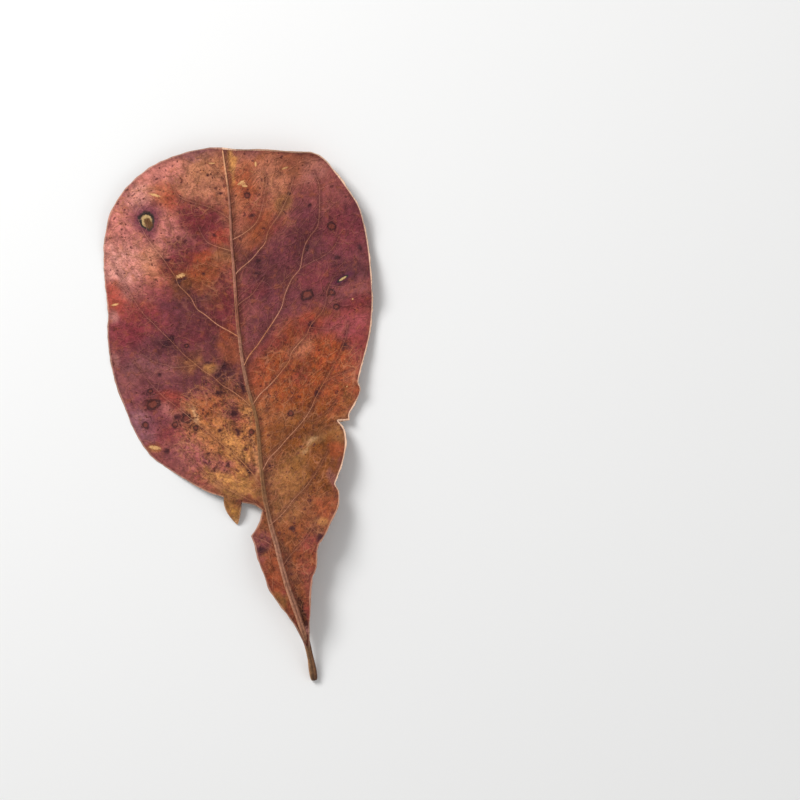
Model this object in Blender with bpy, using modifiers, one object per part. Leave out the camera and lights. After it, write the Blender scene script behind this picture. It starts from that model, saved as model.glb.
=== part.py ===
"""A shed, dried leaf of a tropical almond tree, lying down with its upper face up.

The blade, the midrib and the stalk grew as one piece, so the leaf is one solid.
The leaf lies along Y, its stalk towards -Y and its broad tip towards +Y. Lists are in
millimetres; the finished leaf is in metres, resting on z = 0, centred on x = 0 and y = 0.
"""
import math

import bmesh
import bpy
from mathutils import Vector

MM = 0.001

# Driving dimensions, in millimetres
BLADE_THICKNESS = 0.36
ROW_STEP = 4.4            # spacing of the blade's rows along the midrib
HALF_COLUMNS = 9          # cells from the midrib to one margin
FLAP_ROWS = 3             # cells along the torn flap
RIB_SINK = 0.35           # share of its radius by which the midrib hangs under the blade
RIB_STEP = 5.0            # spacing of the points along the midrib and stalk
STALK_END = -100.0        # where the leaf broke off the twig
RIB_TIP = 98.4            # where the midrib runs out, just inside the blade's broad tip

# The midrib seen from above: (y, x)
RIB_LINE = [
    (-100, 0.2), (-92, 0.4), (-85, 0.0), (-75, -1.4), (-62, -3.6), (-48, -5.0), (-34, -6.3),
    (-20, -6.0), (-8, -5.0), (0, -4.7), (8, -5.6), (18, -6.2), (34, -5.6), (52, -3.9), (66, -2.6),
    (80, -0.9), (100, 0.0),
]
# Its height over the ground, and its radius: a swollen foot, a stout stalk, a thread at the tip
RIB_HEIGHT = [
    (-100, 1.70), (-92, 4.2), (-84, 6.2), (-70, 6.8), (-52, 5.4), (-30, 3.2), (-10, 2.0), (20, 1.6),
    (45, 1.8), (70, 3.6), (100, 7.6),
]
RIB_RADIUS = [
    (-100, 1.30), (-96.5, 1.50), (-91, 1.22), (-80, 1.38), (-50, 1.22), (-20, 1.05), (20, 0.85),
    (60, 0.62), (100, 0.34),
]

# Each margin, from the stalk to the tip: (y of the midrib where that row starts, x, y).
# A new stretch begins at each sharp corner.
LEFT_MARGIN = [
    # the narrow wing beside the midrib, out to the point of the torn lobe
    [(-86, -0.5, -87.5), (-80, -2.6, -80.0), (-72, -6.2, -72.5), (-64, -9.8, -65.0), (-56, -11.4, -57.5),
     (-50, -12.6, -52.0), (-44, -12.9, -47.0), (-40.5, -13.8, -43.2)],
    # the tear, in to the midrib
    [(-40.5, -13.8, -43.2), (-38.5, -10.6, -39.8), (-37, -9.2, -37.4), (-35.5, -8.2, -34.4)],
    # out again under the blade, to the torn flap
    [(-35.5, -8.2, -34.4), (-33.5, -11.0, -32.0), (-31.5, -15.6, -30.4)],
    [(-31.5, -15.6, -30.4), (-29, -21.5, -27.4)],
    # the long round edge, up to the tip
    [(-29, -21.5, -27.4), (-25, -27.4, -24.2), (-20, -33.8, -19.2), (-14, -39.8, -14.0), (-7, -45.6, -8.0),
     (-1, -48.8, -1.6), (5, -51.0, 4.8), (11, -52.4, 12.2), (17, -54.0, 19.8), (24, -54.6, 28.2),
     (32, -54.2, 38.5), (40, -52.4, 48.3), (47, -52.0, 56.6), (53, -51.3, 63.8), (60, -49.6, 72.6),
     (67, -46.2, 81.4), (73, -41.8, 87.8), (79, -35.4, 93.4), (85, -28.2, 97.4), (90, -21.5, 99.4),
     (95, -12.5, 100.7), (100, -4.5, 100.8)],
]
RIGHT_MARGIN = [
    # the narrow wing, out to the wavy lower edge
    [(-86, 0.9, -87.5), (-80, 2.2, -79.5), (-74, 3.7, -73.5), (-68, 4.4, -68.5), (-62, 6.2, -62.6),
     (-57, 8.5, -58.4), (-53, 9.4, -54.0), (-49, 10.8, -50.2), (-45, 13.6, -47.3), (-41, 16.7, -42.6),
     (-36, 19.9, -38.0), (-31, 21.3, -32.8), (-27.5, 20.3, -29.2)],
    # the lobe below the slit
    [(-27.5, 20.3, -29.2), (-23, 23.9, -23.0), (-19.5, 25.8, -18.6), (-16, 26.9, -14.0), (-13, 26.8, -9.8),
     (-10.5, 25.1, -6.4)],
    [(-10.5, 25.1, -6.4), (-9, 29.4, -7.0)],
    # the long round edge, up to the tip
    [(-9, 29.4, -7.0), (-6.5, 29.8, -4.6), (-3, 32.4, -1.4), (0, 34.6, 1.5), (2.5, 35.5, 3.8),
     (5, 35.1, 6.2), (8.5, 36.2, 9.6), (13, 38.8, 15.2), (18, 41.6, 21.6), (22, 43.3, 26.8), (27, 45.0, 33.6),
     (31, 45.8, 38.4), (37, 46.6, 46.8), (43, 47.1, 55.0), (49, 47.0, 63.3), (55, 46.1, 70.4),
     (62, 42.9, 78.0), (67, 40.3, 83.2), (73, 36.6, 89.5), (79, 32.4, 92.7), (85, 25.8, 93.9),
     (92, 14.5, 96.8), (100, 4.8, 98.5)],
]
# The torn flap hangs from the fourth stretch of the left margin: its tip, which droops
FLAP_STRETCH = 3
FLAP_TIP = (-18.4, -38.2)
FLAP_DROOP = 1.6
FLAP_REACH = 0.85         # share of the way to that tip at which its sides end, in a blunt end
FLAP_ARCH = 0.5
FLAP_BULGE = 1.3          # how far its outer side bulges away from the leaf

# How high the blade stands over the ground: (y of the midrib where the row starts, then the
# height at a third, at two thirds and at the whole of the way out to the margin).
# It lies flat where a height is nought or less.
LEFT_LIFT = [
    (-86, 6.4, 6.6, 6.8), (-62, 6.6, 7.4, 8.4), (-42, 4.8, 5.2, 5.8), (-29, 3.4, 3.6, 2.8),
    (-14, 3.6, 3.0, 0.4), (5, 3.4, 2.4, -0.8), (25, 2.8, 1.6, -0.9), (45, 2.6, 2.0, 0.2),
    (60, 3.4, 3.4, 2.2), (80, 5.4, 5.6, 4.8), (100, 7.6, 7.4, 7.0),
]
RIGHT_LIFT = [
    (-86, 6.6, 7.0, 7.4), (-62, 7.4, 9.0, 11.2), (-42, 6.0, 8.0, 10.6), (-27, 4.4, 5.6, 8.4),
    (-10, 2.8, 2.2, 4.6), (5, 1.8, 0.2, 3.4), (25, 1.0, -1.2, 4.2), (45, 1.2, -0.9, 4.8),
    (60, 2.8, 1.6, 5.6), (80, 5.2, 5.2, 7.8), (100, 7.8, 8.2, 8.8),
]
# Slow waves that grow towards the margins: height and length of one wave
WAVE_HEIGHT = {"left": 0.7, "right": 1.1}
WAVE_LENGTH = {"left": 31.0, "right": 26.0}


def smooth(knots, at):
    """The values at one place on a smooth curve through the knots, each (place, value, ...)."""
    at = min(max(at, knots[0][0]), knots[-1][0])
    last = len(knots) - 1
    index = next(i for i in range(last) if at <= knots[i + 1][0])

    def slope(i, column):
        before, after = knots[max(i - 1, 0)], knots[min(i + 1, last)]
        return (after[column] - before[column]) / (after[0] - before[0])

    start, end = knots[index], knots[index + 1]
    span = end[0] - start[0]
    t = (at - start[0]) / span
    values = []
    for column in range(1, len(start)):
        rise = (3 - 2 * t) * t * t
        value = start[column] * (1 - rise) + end[column] * rise
        value += span * t * (1 - t) ** 2 * slope(index, column)
        value += span * t * t * (t - 1) * slope(index + 1, column)
        values.append(value)
    return values


def margin_point(stretches, station):
    """The margin's (x, y) at the end of the row that starts at this station of the midrib."""
    stretch = next((s for s in stretches if s[0][0] <= station <= s[-1][0]), stretches[-1])
    return smooth(stretch, station)


def stations():
    """Where rows start along the midrib: at each corner of either margin, and evenly between."""
    stretches = LEFT_MARGIN + RIGHT_MARGIN
    corners = sorted({stretch[end][0] for stretch in stretches for end in (0, -1)})
    rows = []
    for low, high in zip(corners, corners[1:]):
        count = max(1, round((high - low) / ROW_STEP))
        rows += [low + (high - low) * i / count for i in range(count)]
    return rows + [corners[-1]]


def blade_height(side, station, share):
    """Height of the blade's middle over the ground, at a share of the way to the margin."""
    lift = smooth(LEFT_LIFT if side == "left" else RIGHT_LIFT, station)
    heights = [smooth(RIB_HEIGHT, station)[0]] + lift
    height = smooth([(i / 3, h) for i, h in enumerate(heights)], share)[0]
    wave = math.sin(2 * math.pi * station / WAVE_LENGTH[side])
    height += WAVE_HEIGHT[side] * wave * share ** 3
    return max(height, BLADE_THICKNESS / 2)


def blade_point(side, station, share):
    """A point of the blade, on the row that starts at this station."""
    rib_x = smooth(RIB_LINE, station)[0]
    edge_x, edge_y = margin_point(LEFT_MARGIN if side == "left" else RIGHT_MARGIN, station)
    x = rib_x + (edge_x - rib_x) * share
    y = station + (edge_y - station) * share
    return Vector((x, y, blade_height(side, station, share)))


def flap_point(station, share):
    """A point of the torn flap, from its root on the margin to its drooping tip."""
    root = blade_point("left", station, 1.0)
    tip = Vector((FLAP_TIP[0], FLAP_TIP[1], root.z - FLAP_DROOP))
    low, high = LEFT_MARGIN[FLAP_STRETCH][0][0], LEFT_MARGIN[FLAP_STRETCH][-1][0]
    outward = (station - low) / (high - low)
    swelling = math.sin(math.pi * share)
    bend = Vector((-FLAP_BULGE * outward * swelling, 0, FLAP_ARCH * swelling))
    return root.lerp(tip, share * FLAP_REACH) + bend


def add_sheet(mesh, rows, columns, place):
    """A primitive grid of rows and columns of cells, each vertex moved to where place says."""
    sheet = bmesh.ops.create_grid(mesh, x_segments=columns, y_segments=rows, size=0.5)["verts"]
    for vertex in sheet:
        column = round((vertex.co.x + 0.5) * columns)
        row = round((vertex.co.y + 0.5) * rows)
        vertex.co = place(row, column) * MM


def link_new(name, mesh, collection):
    thing = bpy.data.objects.new(name, mesh)
    collection.objects.link(thing)
    return thing


def make_blade(collection):
    """Both halves of the blade and the flap as one open surface, given its thickness."""
    rows = stations()
    low, high = LEFT_MARGIN[FLAP_STRETCH][0][0], LEFT_MARGIN[FLAP_STRETCH][-1][0]
    flap_rows = [s for s in rows if low <= s <= high]

    def left_place(row, column):
        return blade_point("left", rows[row], 1 - column / HALF_COLUMNS)

    def right_place(row, column):
        return blade_point("right", rows[row], column / HALF_COLUMNS)

    def flap_place(row, column):
        return flap_point(flap_rows[row], 1 - column / FLAP_ROWS)

    mesh = bmesh.new()
    add_sheet(mesh, len(rows) - 1, HALF_COLUMNS, left_place)
    add_sheet(mesh, len(rows) - 1, HALF_COLUMNS, right_place)
    add_sheet(mesh, len(flap_rows) - 1, FLAP_ROWS, flap_place)
    bmesh.ops.remove_doubles(mesh, verts=mesh.verts, dist=0.00001)
    bmesh.ops.recalc_face_normals(mesh, faces=mesh.faces)
    if sum(face.normal.z for face in mesh.faces) < 0:
        bmesh.ops.reverse_faces(mesh, faces=mesh.faces)
    data = bpy.data.meshes.new("leaf")
    mesh.to_mesh(data)
    mesh.free()
    leaf = link_new("leaf", data, collection)
    thickness = leaf.modifiers.new("Thickness", "SOLIDIFY")
    thickness.thickness = BLADE_THICKNESS * MM
    thickness.offset = 0.0
    return leaf


def make_rib(collection):
    """The midrib and the stalk: a tapering rod that hangs a little under the blade."""
    count = round((RIB_TIP - STALK_END) / RIB_STEP)
    places = [STALK_END + (RIB_TIP - STALK_END) * i / count for i in range(count + 1)]
    curve = bpy.data.curves.new("rib", "CURVE")
    curve.dimensions = "3D"
    curve.bevel_depth = MM
    curve.bevel_resolution = 2
    curve.use_fill_caps = True
    spline = curve.splines.new("POLY")
    spline.points.add(count)
    for point, y in zip(spline.points, places):
        radius = smooth(RIB_RADIUS, y)[0]
        height = smooth(RIB_HEIGHT, y)[0] - RIB_SINK * radius
        point.co = (smooth(RIB_LINE, y)[0] * MM, y * MM, height * MM, 1.0)
        point.radius = radius
    path = link_new("rib_path", curve, collection)
    mesh = bpy.data.meshes.new_from_object(path.evaluated_get(bpy.context.evaluated_depsgraph_get()))
    rod = bmesh.new()
    rod.from_mesh(mesh)
    bmesh.ops.remove_doubles(rod, verts=rod.verts, dist=0.00001)
    rod.to_mesh(mesh)
    rod.free()
    rib = link_new("rib", mesh, collection)
    rib.matrix_world = path.matrix_world
    bpy.data.objects.remove(path)
    rib.hide_render = True
    rib.display_type = "WIRE"
    return rib


def dry_leaf_material():
    material = bpy.data.materials.new("dry_leaf")
    material.use_nodes = True
    surface = material.node_tree.nodes["Principled BSDF"]
    surface.inputs["Base Color"].default_value = (0.36, 0.12, 0.075, 1.0)
    surface.inputs["Roughness"].default_value = 0.62
    surface.inputs["Metallic"].default_value = 0.0
    return material


def rest_on_ground(leaf, rib):
    """Centres the finished leaf on x = 0 and y = 0, with its lowest points on z = 0."""
    bpy.context.view_layer.update()
    evaluated = leaf.evaluated_get(bpy.context.evaluated_depsgraph_get())
    corners = [Vector(corner) for corner in evaluated.bound_box]
    low = Vector([min(corner[axis] for corner in corners) for axis in range(3)])
    high = Vector([max(corner[axis] for corner in corners) for axis in range(3)])
    shift = Vector((-(low.x + high.x) / 2, -(low.y + high.y) / 2, -low.z))
    leaf.location = shift
    rib.location = shift


for thing in list(bpy.data.objects):
    bpy.data.objects.remove(thing)

parts = bpy.data.collections.new("autumn_leaf")
cutters = bpy.data.collections.new("cutters")
bpy.context.scene.collection.children.link(parts)
bpy.context.scene.collection.children.link(cutters)

leaf = make_blade(parts)
rib = make_rib(cutters)
leaf.data.materials.append(dry_leaf_material())
union = leaf.modifiers.new("Midrib", "BOOLEAN")
union.operation = "UNION"
union.solver = "EXACT"
union.object = rib
rest_on_ground(leaf, rib)
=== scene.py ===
import math

import bpy
import numpy as np
from mathutils import Matrix, Vector, noise
from mathutils.bvhtree import BVHTree
from mathutils.kdtree import KDTree


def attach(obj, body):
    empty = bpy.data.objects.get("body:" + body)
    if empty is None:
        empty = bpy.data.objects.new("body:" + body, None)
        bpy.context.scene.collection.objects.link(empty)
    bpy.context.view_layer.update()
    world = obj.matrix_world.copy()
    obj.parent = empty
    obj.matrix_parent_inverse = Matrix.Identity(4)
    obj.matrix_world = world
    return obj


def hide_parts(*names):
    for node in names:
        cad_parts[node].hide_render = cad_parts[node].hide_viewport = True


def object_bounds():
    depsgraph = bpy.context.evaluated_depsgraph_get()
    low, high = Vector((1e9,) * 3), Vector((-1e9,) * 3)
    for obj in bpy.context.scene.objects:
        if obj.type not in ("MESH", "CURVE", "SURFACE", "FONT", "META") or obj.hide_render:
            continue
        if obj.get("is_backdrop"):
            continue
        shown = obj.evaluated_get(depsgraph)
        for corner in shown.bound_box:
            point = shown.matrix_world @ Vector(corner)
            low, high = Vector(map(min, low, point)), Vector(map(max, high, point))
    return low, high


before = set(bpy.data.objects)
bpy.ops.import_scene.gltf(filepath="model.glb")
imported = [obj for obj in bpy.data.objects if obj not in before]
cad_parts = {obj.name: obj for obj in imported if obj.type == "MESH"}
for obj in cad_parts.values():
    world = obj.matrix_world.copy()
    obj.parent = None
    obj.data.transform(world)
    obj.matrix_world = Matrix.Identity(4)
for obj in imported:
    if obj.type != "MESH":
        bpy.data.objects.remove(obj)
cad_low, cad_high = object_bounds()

# ---------------------------------------------------------------------------------------------
# The studio: a pale table top, one large soft lamp at the tip's left, a weaker one opposite,
# and a camera straight above the table, turned so that the leaf leans a little to the left.
# ---------------------------------------------------------------------------------------------
MM = 0.001
LEAN = math.radians(9.64)
VIEW_CENTRE = Vector((0.0529, -0.0030, 0.003))
VIEW_WIDTH = 0.2965
SENSOR = 36.0
LENS = 120.0


def show(name, data):
    """A new object of this data in the scene."""
    thing = bpy.data.objects.new(name, data)
    bpy.context.scene.collection.objects.link(thing)
    return thing


camera_data = bpy.data.cameras.new("camera")
camera_data.sensor_width = SENSOR
camera_data.lens = LENS
camera = show("camera", camera_data)
camera.rotation_euler = (0.0, 0.0, -LEAN)
camera.location = VIEW_CENTRE + Vector((0.0, 0.0, VIEW_WIDTH * LENS / SENSOR))
bpy.context.scene.camera = camera
bpy.context.scene.view_settings.view_transform = "Standard"


def soft_lamp(name, place, size, power):
    """A square lamp that faces the middle of the leaf; its place is given as the camera sees it."""
    light = bpy.data.lights.new(name, "AREA")
    light.size = size
    light.energy = power
    lamp = show(name, light)
    lamp.location = Matrix.Rotation(-LEAN, 4, "Z") @ Vector(place)
    lamp.rotation_euler = lamp.location.to_track_quat("Z", "Y").to_euler()


soft_lamp("key_lamp", (-0.55, 0.60, 0.80), 0.50, 10.6)
soft_lamp("fill_lamp", (0.80, -0.30, 0.70), 0.90, 2.0)

world = bpy.data.worlds.new("studio")
world.use_nodes = True
sky = world.node_tree.nodes["Background"]
sky.inputs["Color"].default_value = (1.0, 1.0, 1.0, 1.0)
sky.inputs["Strength"].default_value = 0.40
bpy.context.scene.world = world

FLOOR_HALF = 3.0
floor_mesh = bpy.data.meshes.new("floor")
floor_corners = [(x * FLOOR_HALF, y * FLOOR_HALF, 0.0) for x, y in ((-1, -1), (1, -1), (1, 1), (-1, 1))]
floor_mesh.from_pydata(floor_corners, [], [(0, 1, 2, 3)])
floor = show("floor", floor_mesh)
floor_material = bpy.data.materials.new("pale_table")
floor_material.use_nodes = True
table_top = floor_material.node_tree.nodes["Principled BSDF"]
table_top.inputs["Base Color"].default_value = (0.88, 0.88, 0.875, 1.0)
table_top.inputs["Roughness"].default_value = 0.9
floor_mesh.materials.append(floor_material)
floor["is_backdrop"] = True

# ---------------------------------------------------------------------------------------------
# The blade: a thin leathery sheet in two halves that grew out from the midrib, dried until it
# curled and puckered. It is laid out in rows that run from the midrib to the margins. Places on
# it are in millimetres: x across the leaf, y along it, from -100 at the stalk's foot to the tip.
# ---------------------------------------------------------------------------------------------
RIB_LINE = [
    (-100, 0.2), (-92, 0.4), (-85, 0.0), (-75, -1.4), (-62, -3.6), (-48, -5.0), (-34, -6.3), (-20, -6.0),
    (-8, -5.0), (0, -4.7), (8, -5.6), (18, -6.2), (34, -5.6), (52, -3.9), (66, -2.6), (80, -0.9), (100, 0.0),
]
RIB_HEIGHT = [
    (-100, 1.70), (-92, 4.2), (-84, 6.2), (-70, 6.8), (-52, 5.4), (-30, 3.2), (-10, 2.0), (20, 1.6),
    (45, 1.8), (70, 3.6), (100, 7.6),
]
# Each margin from the stalk to the tip: (y of the midrib where that row starts, x, y). A new
# stretch begins at each sharp corner: the torn lobe, the tear, the torn flap's root, the slit.
LEFT_MARGIN = [
    [(-86, -0.5, -87.5), (-80, -2.6, -80.0), (-72, -6.2, -72.5), (-64, -9.8, -65.0), (-56, -11.4, -57.5),
     (-50, -12.6, -52.0), (-44, -12.9, -47.0), (-40.5, -13.8, -43.2)],
    [(-40.5, -13.8, -43.2), (-38.5, -10.6, -39.8), (-37, -9.2, -37.4), (-35.5, -8.2, -34.4)],
    [(-35.5, -8.2, -34.4), (-33.5, -11.0, -32.0), (-31.5, -15.6, -30.4)],
    [(-31.5, -15.6, -30.4), (-29, -21.5, -27.4)],
    [(-29, -21.5, -27.4), (-25, -27.4, -24.2), (-20, -33.8, -19.2), (-14, -39.8, -14.0), (-7, -45.6, -8.0),
     (-1, -48.8, -1.6), (5, -51.0, 4.8), (11, -52.4, 12.2), (17, -54.0, 19.8), (24, -54.6, 28.2),
     (32, -54.2, 38.5), (40, -52.4, 48.3), (47, -52.0, 56.6), (53, -51.3, 63.8), (60, -49.6, 72.6),
     (67, -46.2, 81.4), (73, -41.8, 87.8), (79, -35.4, 93.4), (85, -28.2, 97.4), (90, -21.5, 99.4),
     (95, -12.5, 100.7), (100, -4.5, 100.8)],
]
RIGHT_MARGIN = [
    [(-86, 0.9, -87.5), (-80, 2.2, -79.5), (-74, 3.7, -73.5), (-68, 4.4, -68.5), (-62, 6.2, -62.6),
     (-57, 8.5, -58.4), (-53, 9.4, -54.0), (-49, 10.8, -50.2), (-45, 13.6, -47.3), (-41, 16.7, -42.6),
     (-36, 19.9, -38.0), (-31, 21.3, -32.8), (-27.5, 20.3, -29.2)],
    [(-27.5, 20.3, -29.2), (-23, 23.9, -23.0), (-19.5, 25.8, -18.6), (-16, 26.9, -14.0), (-13, 26.8, -9.8),
     (-10.5, 25.1, -6.4)],
    [(-10.5, 25.1, -6.4), (-9, 29.4, -7.0)],
    [(-9, 29.4, -7.0), (-6.5, 29.8, -4.6), (-3, 32.4, -1.4), (0, 34.6, 1.5), (2.5, 35.5, 3.8),
     (5, 35.1, 6.2), (8.5, 36.2, 9.6), (13, 38.8, 15.2), (18, 41.6, 21.6), (22, 43.3, 26.8),
     (27, 45.0, 33.6), (31, 45.8, 38.4), (37, 46.6, 46.8), (43, 47.1, 55.0), (49, 47.0, 63.3),
     (55, 46.1, 70.4), (62, 42.9, 78.0), (67, 40.3, 83.2), (73, 36.6, 89.5), (79, 32.4, 92.7),
     (85, 25.8, 93.9), (92, 14.5, 96.8), (100, 4.8, 98.5)],
]
FLAP_ROOT = (-31.5, -29.0)     # the stretch of the left margin that the flap hangs from
FLAP_TIP = (-18.4, -38.2)
FLAP_DROOP = 1.6
FLAP_BULGE = 1.3
# Height over the table: (y of the midrib where the row starts, then at a third, at two thirds
# and at the whole of the way out to the margin). At nought or less the blade lies flat.
LEFT_LIFT = [
    (-86, 6.4, 6.6, 6.8), (-62, 6.6, 7.4, 8.4), (-42, 4.8, 5.2, 5.8), (-29, 3.4, 3.6, 2.8),
    (-14, 3.6, 3.0, 0.4), (5, 3.4, 2.4, -0.8), (25, 2.8, 1.6, -0.9), (45, 2.6, 2.0, 0.2),
    (60, 3.4, 3.4, 2.2), (80, 5.4, 5.6, 4.8), (100, 7.6, 7.4, 7.0),
]
RIGHT_LIFT = [
    (-86, 6.6, 7.0, 7.4), (-62, 7.4, 9.0, 11.2), (-42, 6.0, 8.0, 10.6), (-27, 4.4, 5.6, 8.4),
    (-10, 2.8, 2.2, 4.6), (5, 1.8, 0.2, 3.4), (25, 1.0, -1.2, 4.2), (45, 1.2, -0.9, 4.8),
    (60, 2.8, 1.6, 5.6), (80, 5.2, 5.2, 7.8), (100, 7.8, 8.2, 8.8),
]
WAVE_HEIGHT = {"left": 0.7, "right": 1.1}
WAVE_LENGTH = {"left": 31.0, "right": 26.0}
BLADE_THICKNESS = 0.36
CELL = 0.75               # spacing of the rows
COLUMNS = 60              # cells from the midrib to one margin


def smooth(knots, at):
    """A row for each place in at, on a smooth curve through the knots: (place, value, ...)."""
    knots = np.array(knots, float)
    places, values = knots[:, 0], knots[:, 1:]
    ahead = np.minimum(np.arange(len(knots)) + 1, len(knots) - 1)
    behind = np.maximum(np.arange(len(knots)) - 1, 0)
    slopes = (values[ahead] - values[behind]) / (places[ahead] - places[behind])[:, None]
    at = np.clip(np.asarray(at, float), places[0], places[-1])
    index = np.clip(np.searchsorted(places, at, side="right") - 1, 0, len(knots) - 2)
    span = (places[index + 1] - places[index])[:, None]
    t = (at - places[index])[:, None] / span
    rise = (3 - 2 * t) * t * t
    return (values[index] * (1 - rise) + values[index + 1] * rise
            + span * t * (1 - t) ** 2 * slopes[index] + span * t * t * (t - 1) * slopes[index + 1])


def margin_points(stretches, stations):
    """The margin's (x, y) at the end of each row."""
    found = np.zeros((len(stations), 2))
    for stretch in stretches:
        here = (stations >= stretch[0][0]) & (stations <= stretch[-1][0])
        found[here] = smooth(stretch, stations[here])
    return found


def step(low, high, value):
    """0 below low, 1 above high, and a smooth rise between."""
    t = np.clip((value - low) / (high - low), 0, 1)
    return t * t * (3 - 2 * t)


def wander(points, size, seed):
    """Smooth noise from about -1 to 1 over places in millimetres, with features of this size."""
    shift = Vector((seed * 17.3, seed * 5.9, seed * 11.1))
    return np.array([noise.noise(Vector((p[0] / size, p[1] / size, 0.0)) + shift) for p in points])


knot_places = sorted({k[0] for side in (LEFT_MARGIN, RIGHT_MARGIN) for stretch in side for k in stretch})
stations = []
for low, high in zip(knot_places, knot_places[1:]):
    ends = np.array([low + 1e-9, high - 1e-9])
    gaps = [np.linalg.norm(np.diff(margin_points(m, ends), axis=0)) for m in (LEFT_MARGIN, RIGHT_MARGIN)]
    longest = max(high - low, *gaps)
    count = max(1, math.ceil(longest / CELL))
    stations += [low + (high - low) * i / count for i in range(count)]
stations = np.array(stations + [knot_places[-1]])
share = np.concatenate([np.linspace(0, 0.984, COLUMNS - 1), [0.9925, 1.0]])
rib_x = smooth(RIB_LINE, stations)[:, 0]
rib_z = smooth(RIB_HEIGHT, stations)[:, 0]
across = smooth([(i / 3, *row) for i, row in enumerate(np.eye(4))], share)


def half_blade(side, margin, lifts):
    """x, y and height of the blade's middle over one half, as grids of rows and columns."""
    edge = margin_points(margin, stations)
    nibble = 0.30 * wander(edge, 2.6, 3) + (0.34 if side == "right" else 0.12) * wander(edge, 6.0, 4)
    out = edge - np.stack([rib_x, stations], 1)
    length = np.linalg.norm(out, axis=1)
    steady = np.min([np.abs(stations - s[end][0]) for s in margin for end in (0, -1)], axis=0)
    out *= (1 + nibble * step(0, 1.5, steady) / np.maximum(length, 4))[:, None]
    x = rib_x[:, None] + out[:, :1] * share
    y = stations[:, None] + out[:, 1:] * share
    heights = np.column_stack([rib_z, smooth(lifts, stations)])
    z = heights @ across.T
    z += WAVE_HEIGHT[side] * np.sin(2 * math.pi * stations / WAVE_LENGTH[side])[:, None] * share ** 3
    return np.stack([x, y, z], 2)


left = half_blade("left", LEFT_MARGIN, LEFT_LIFT)
right = half_blade("right", RIGHT_MARGIN, RIGHT_LIFT)
# The left margin rolls over and down in a band; the right one turns up in a thin lip.
roll = step(-24, -8, stations) * (1 - step(36, 50, stations))
left[:, :, 2] += 1.1 * roll[:, None] * np.exp(-((share - 0.85) / 0.075) ** 2)
lip = 0.55 + 0.45 * np.sin(stations / 5.3 + 1.0) * np.sin(stations / 2.9)
right[:, :, 2] += lip[:, None] * step(0.955, 1.0, share)
middle = np.concatenate([left[:, :0:-1], right], axis=1)
rows, columns = middle.shape[:2]
flat_places = middle.reshape(-1, 3)

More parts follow.
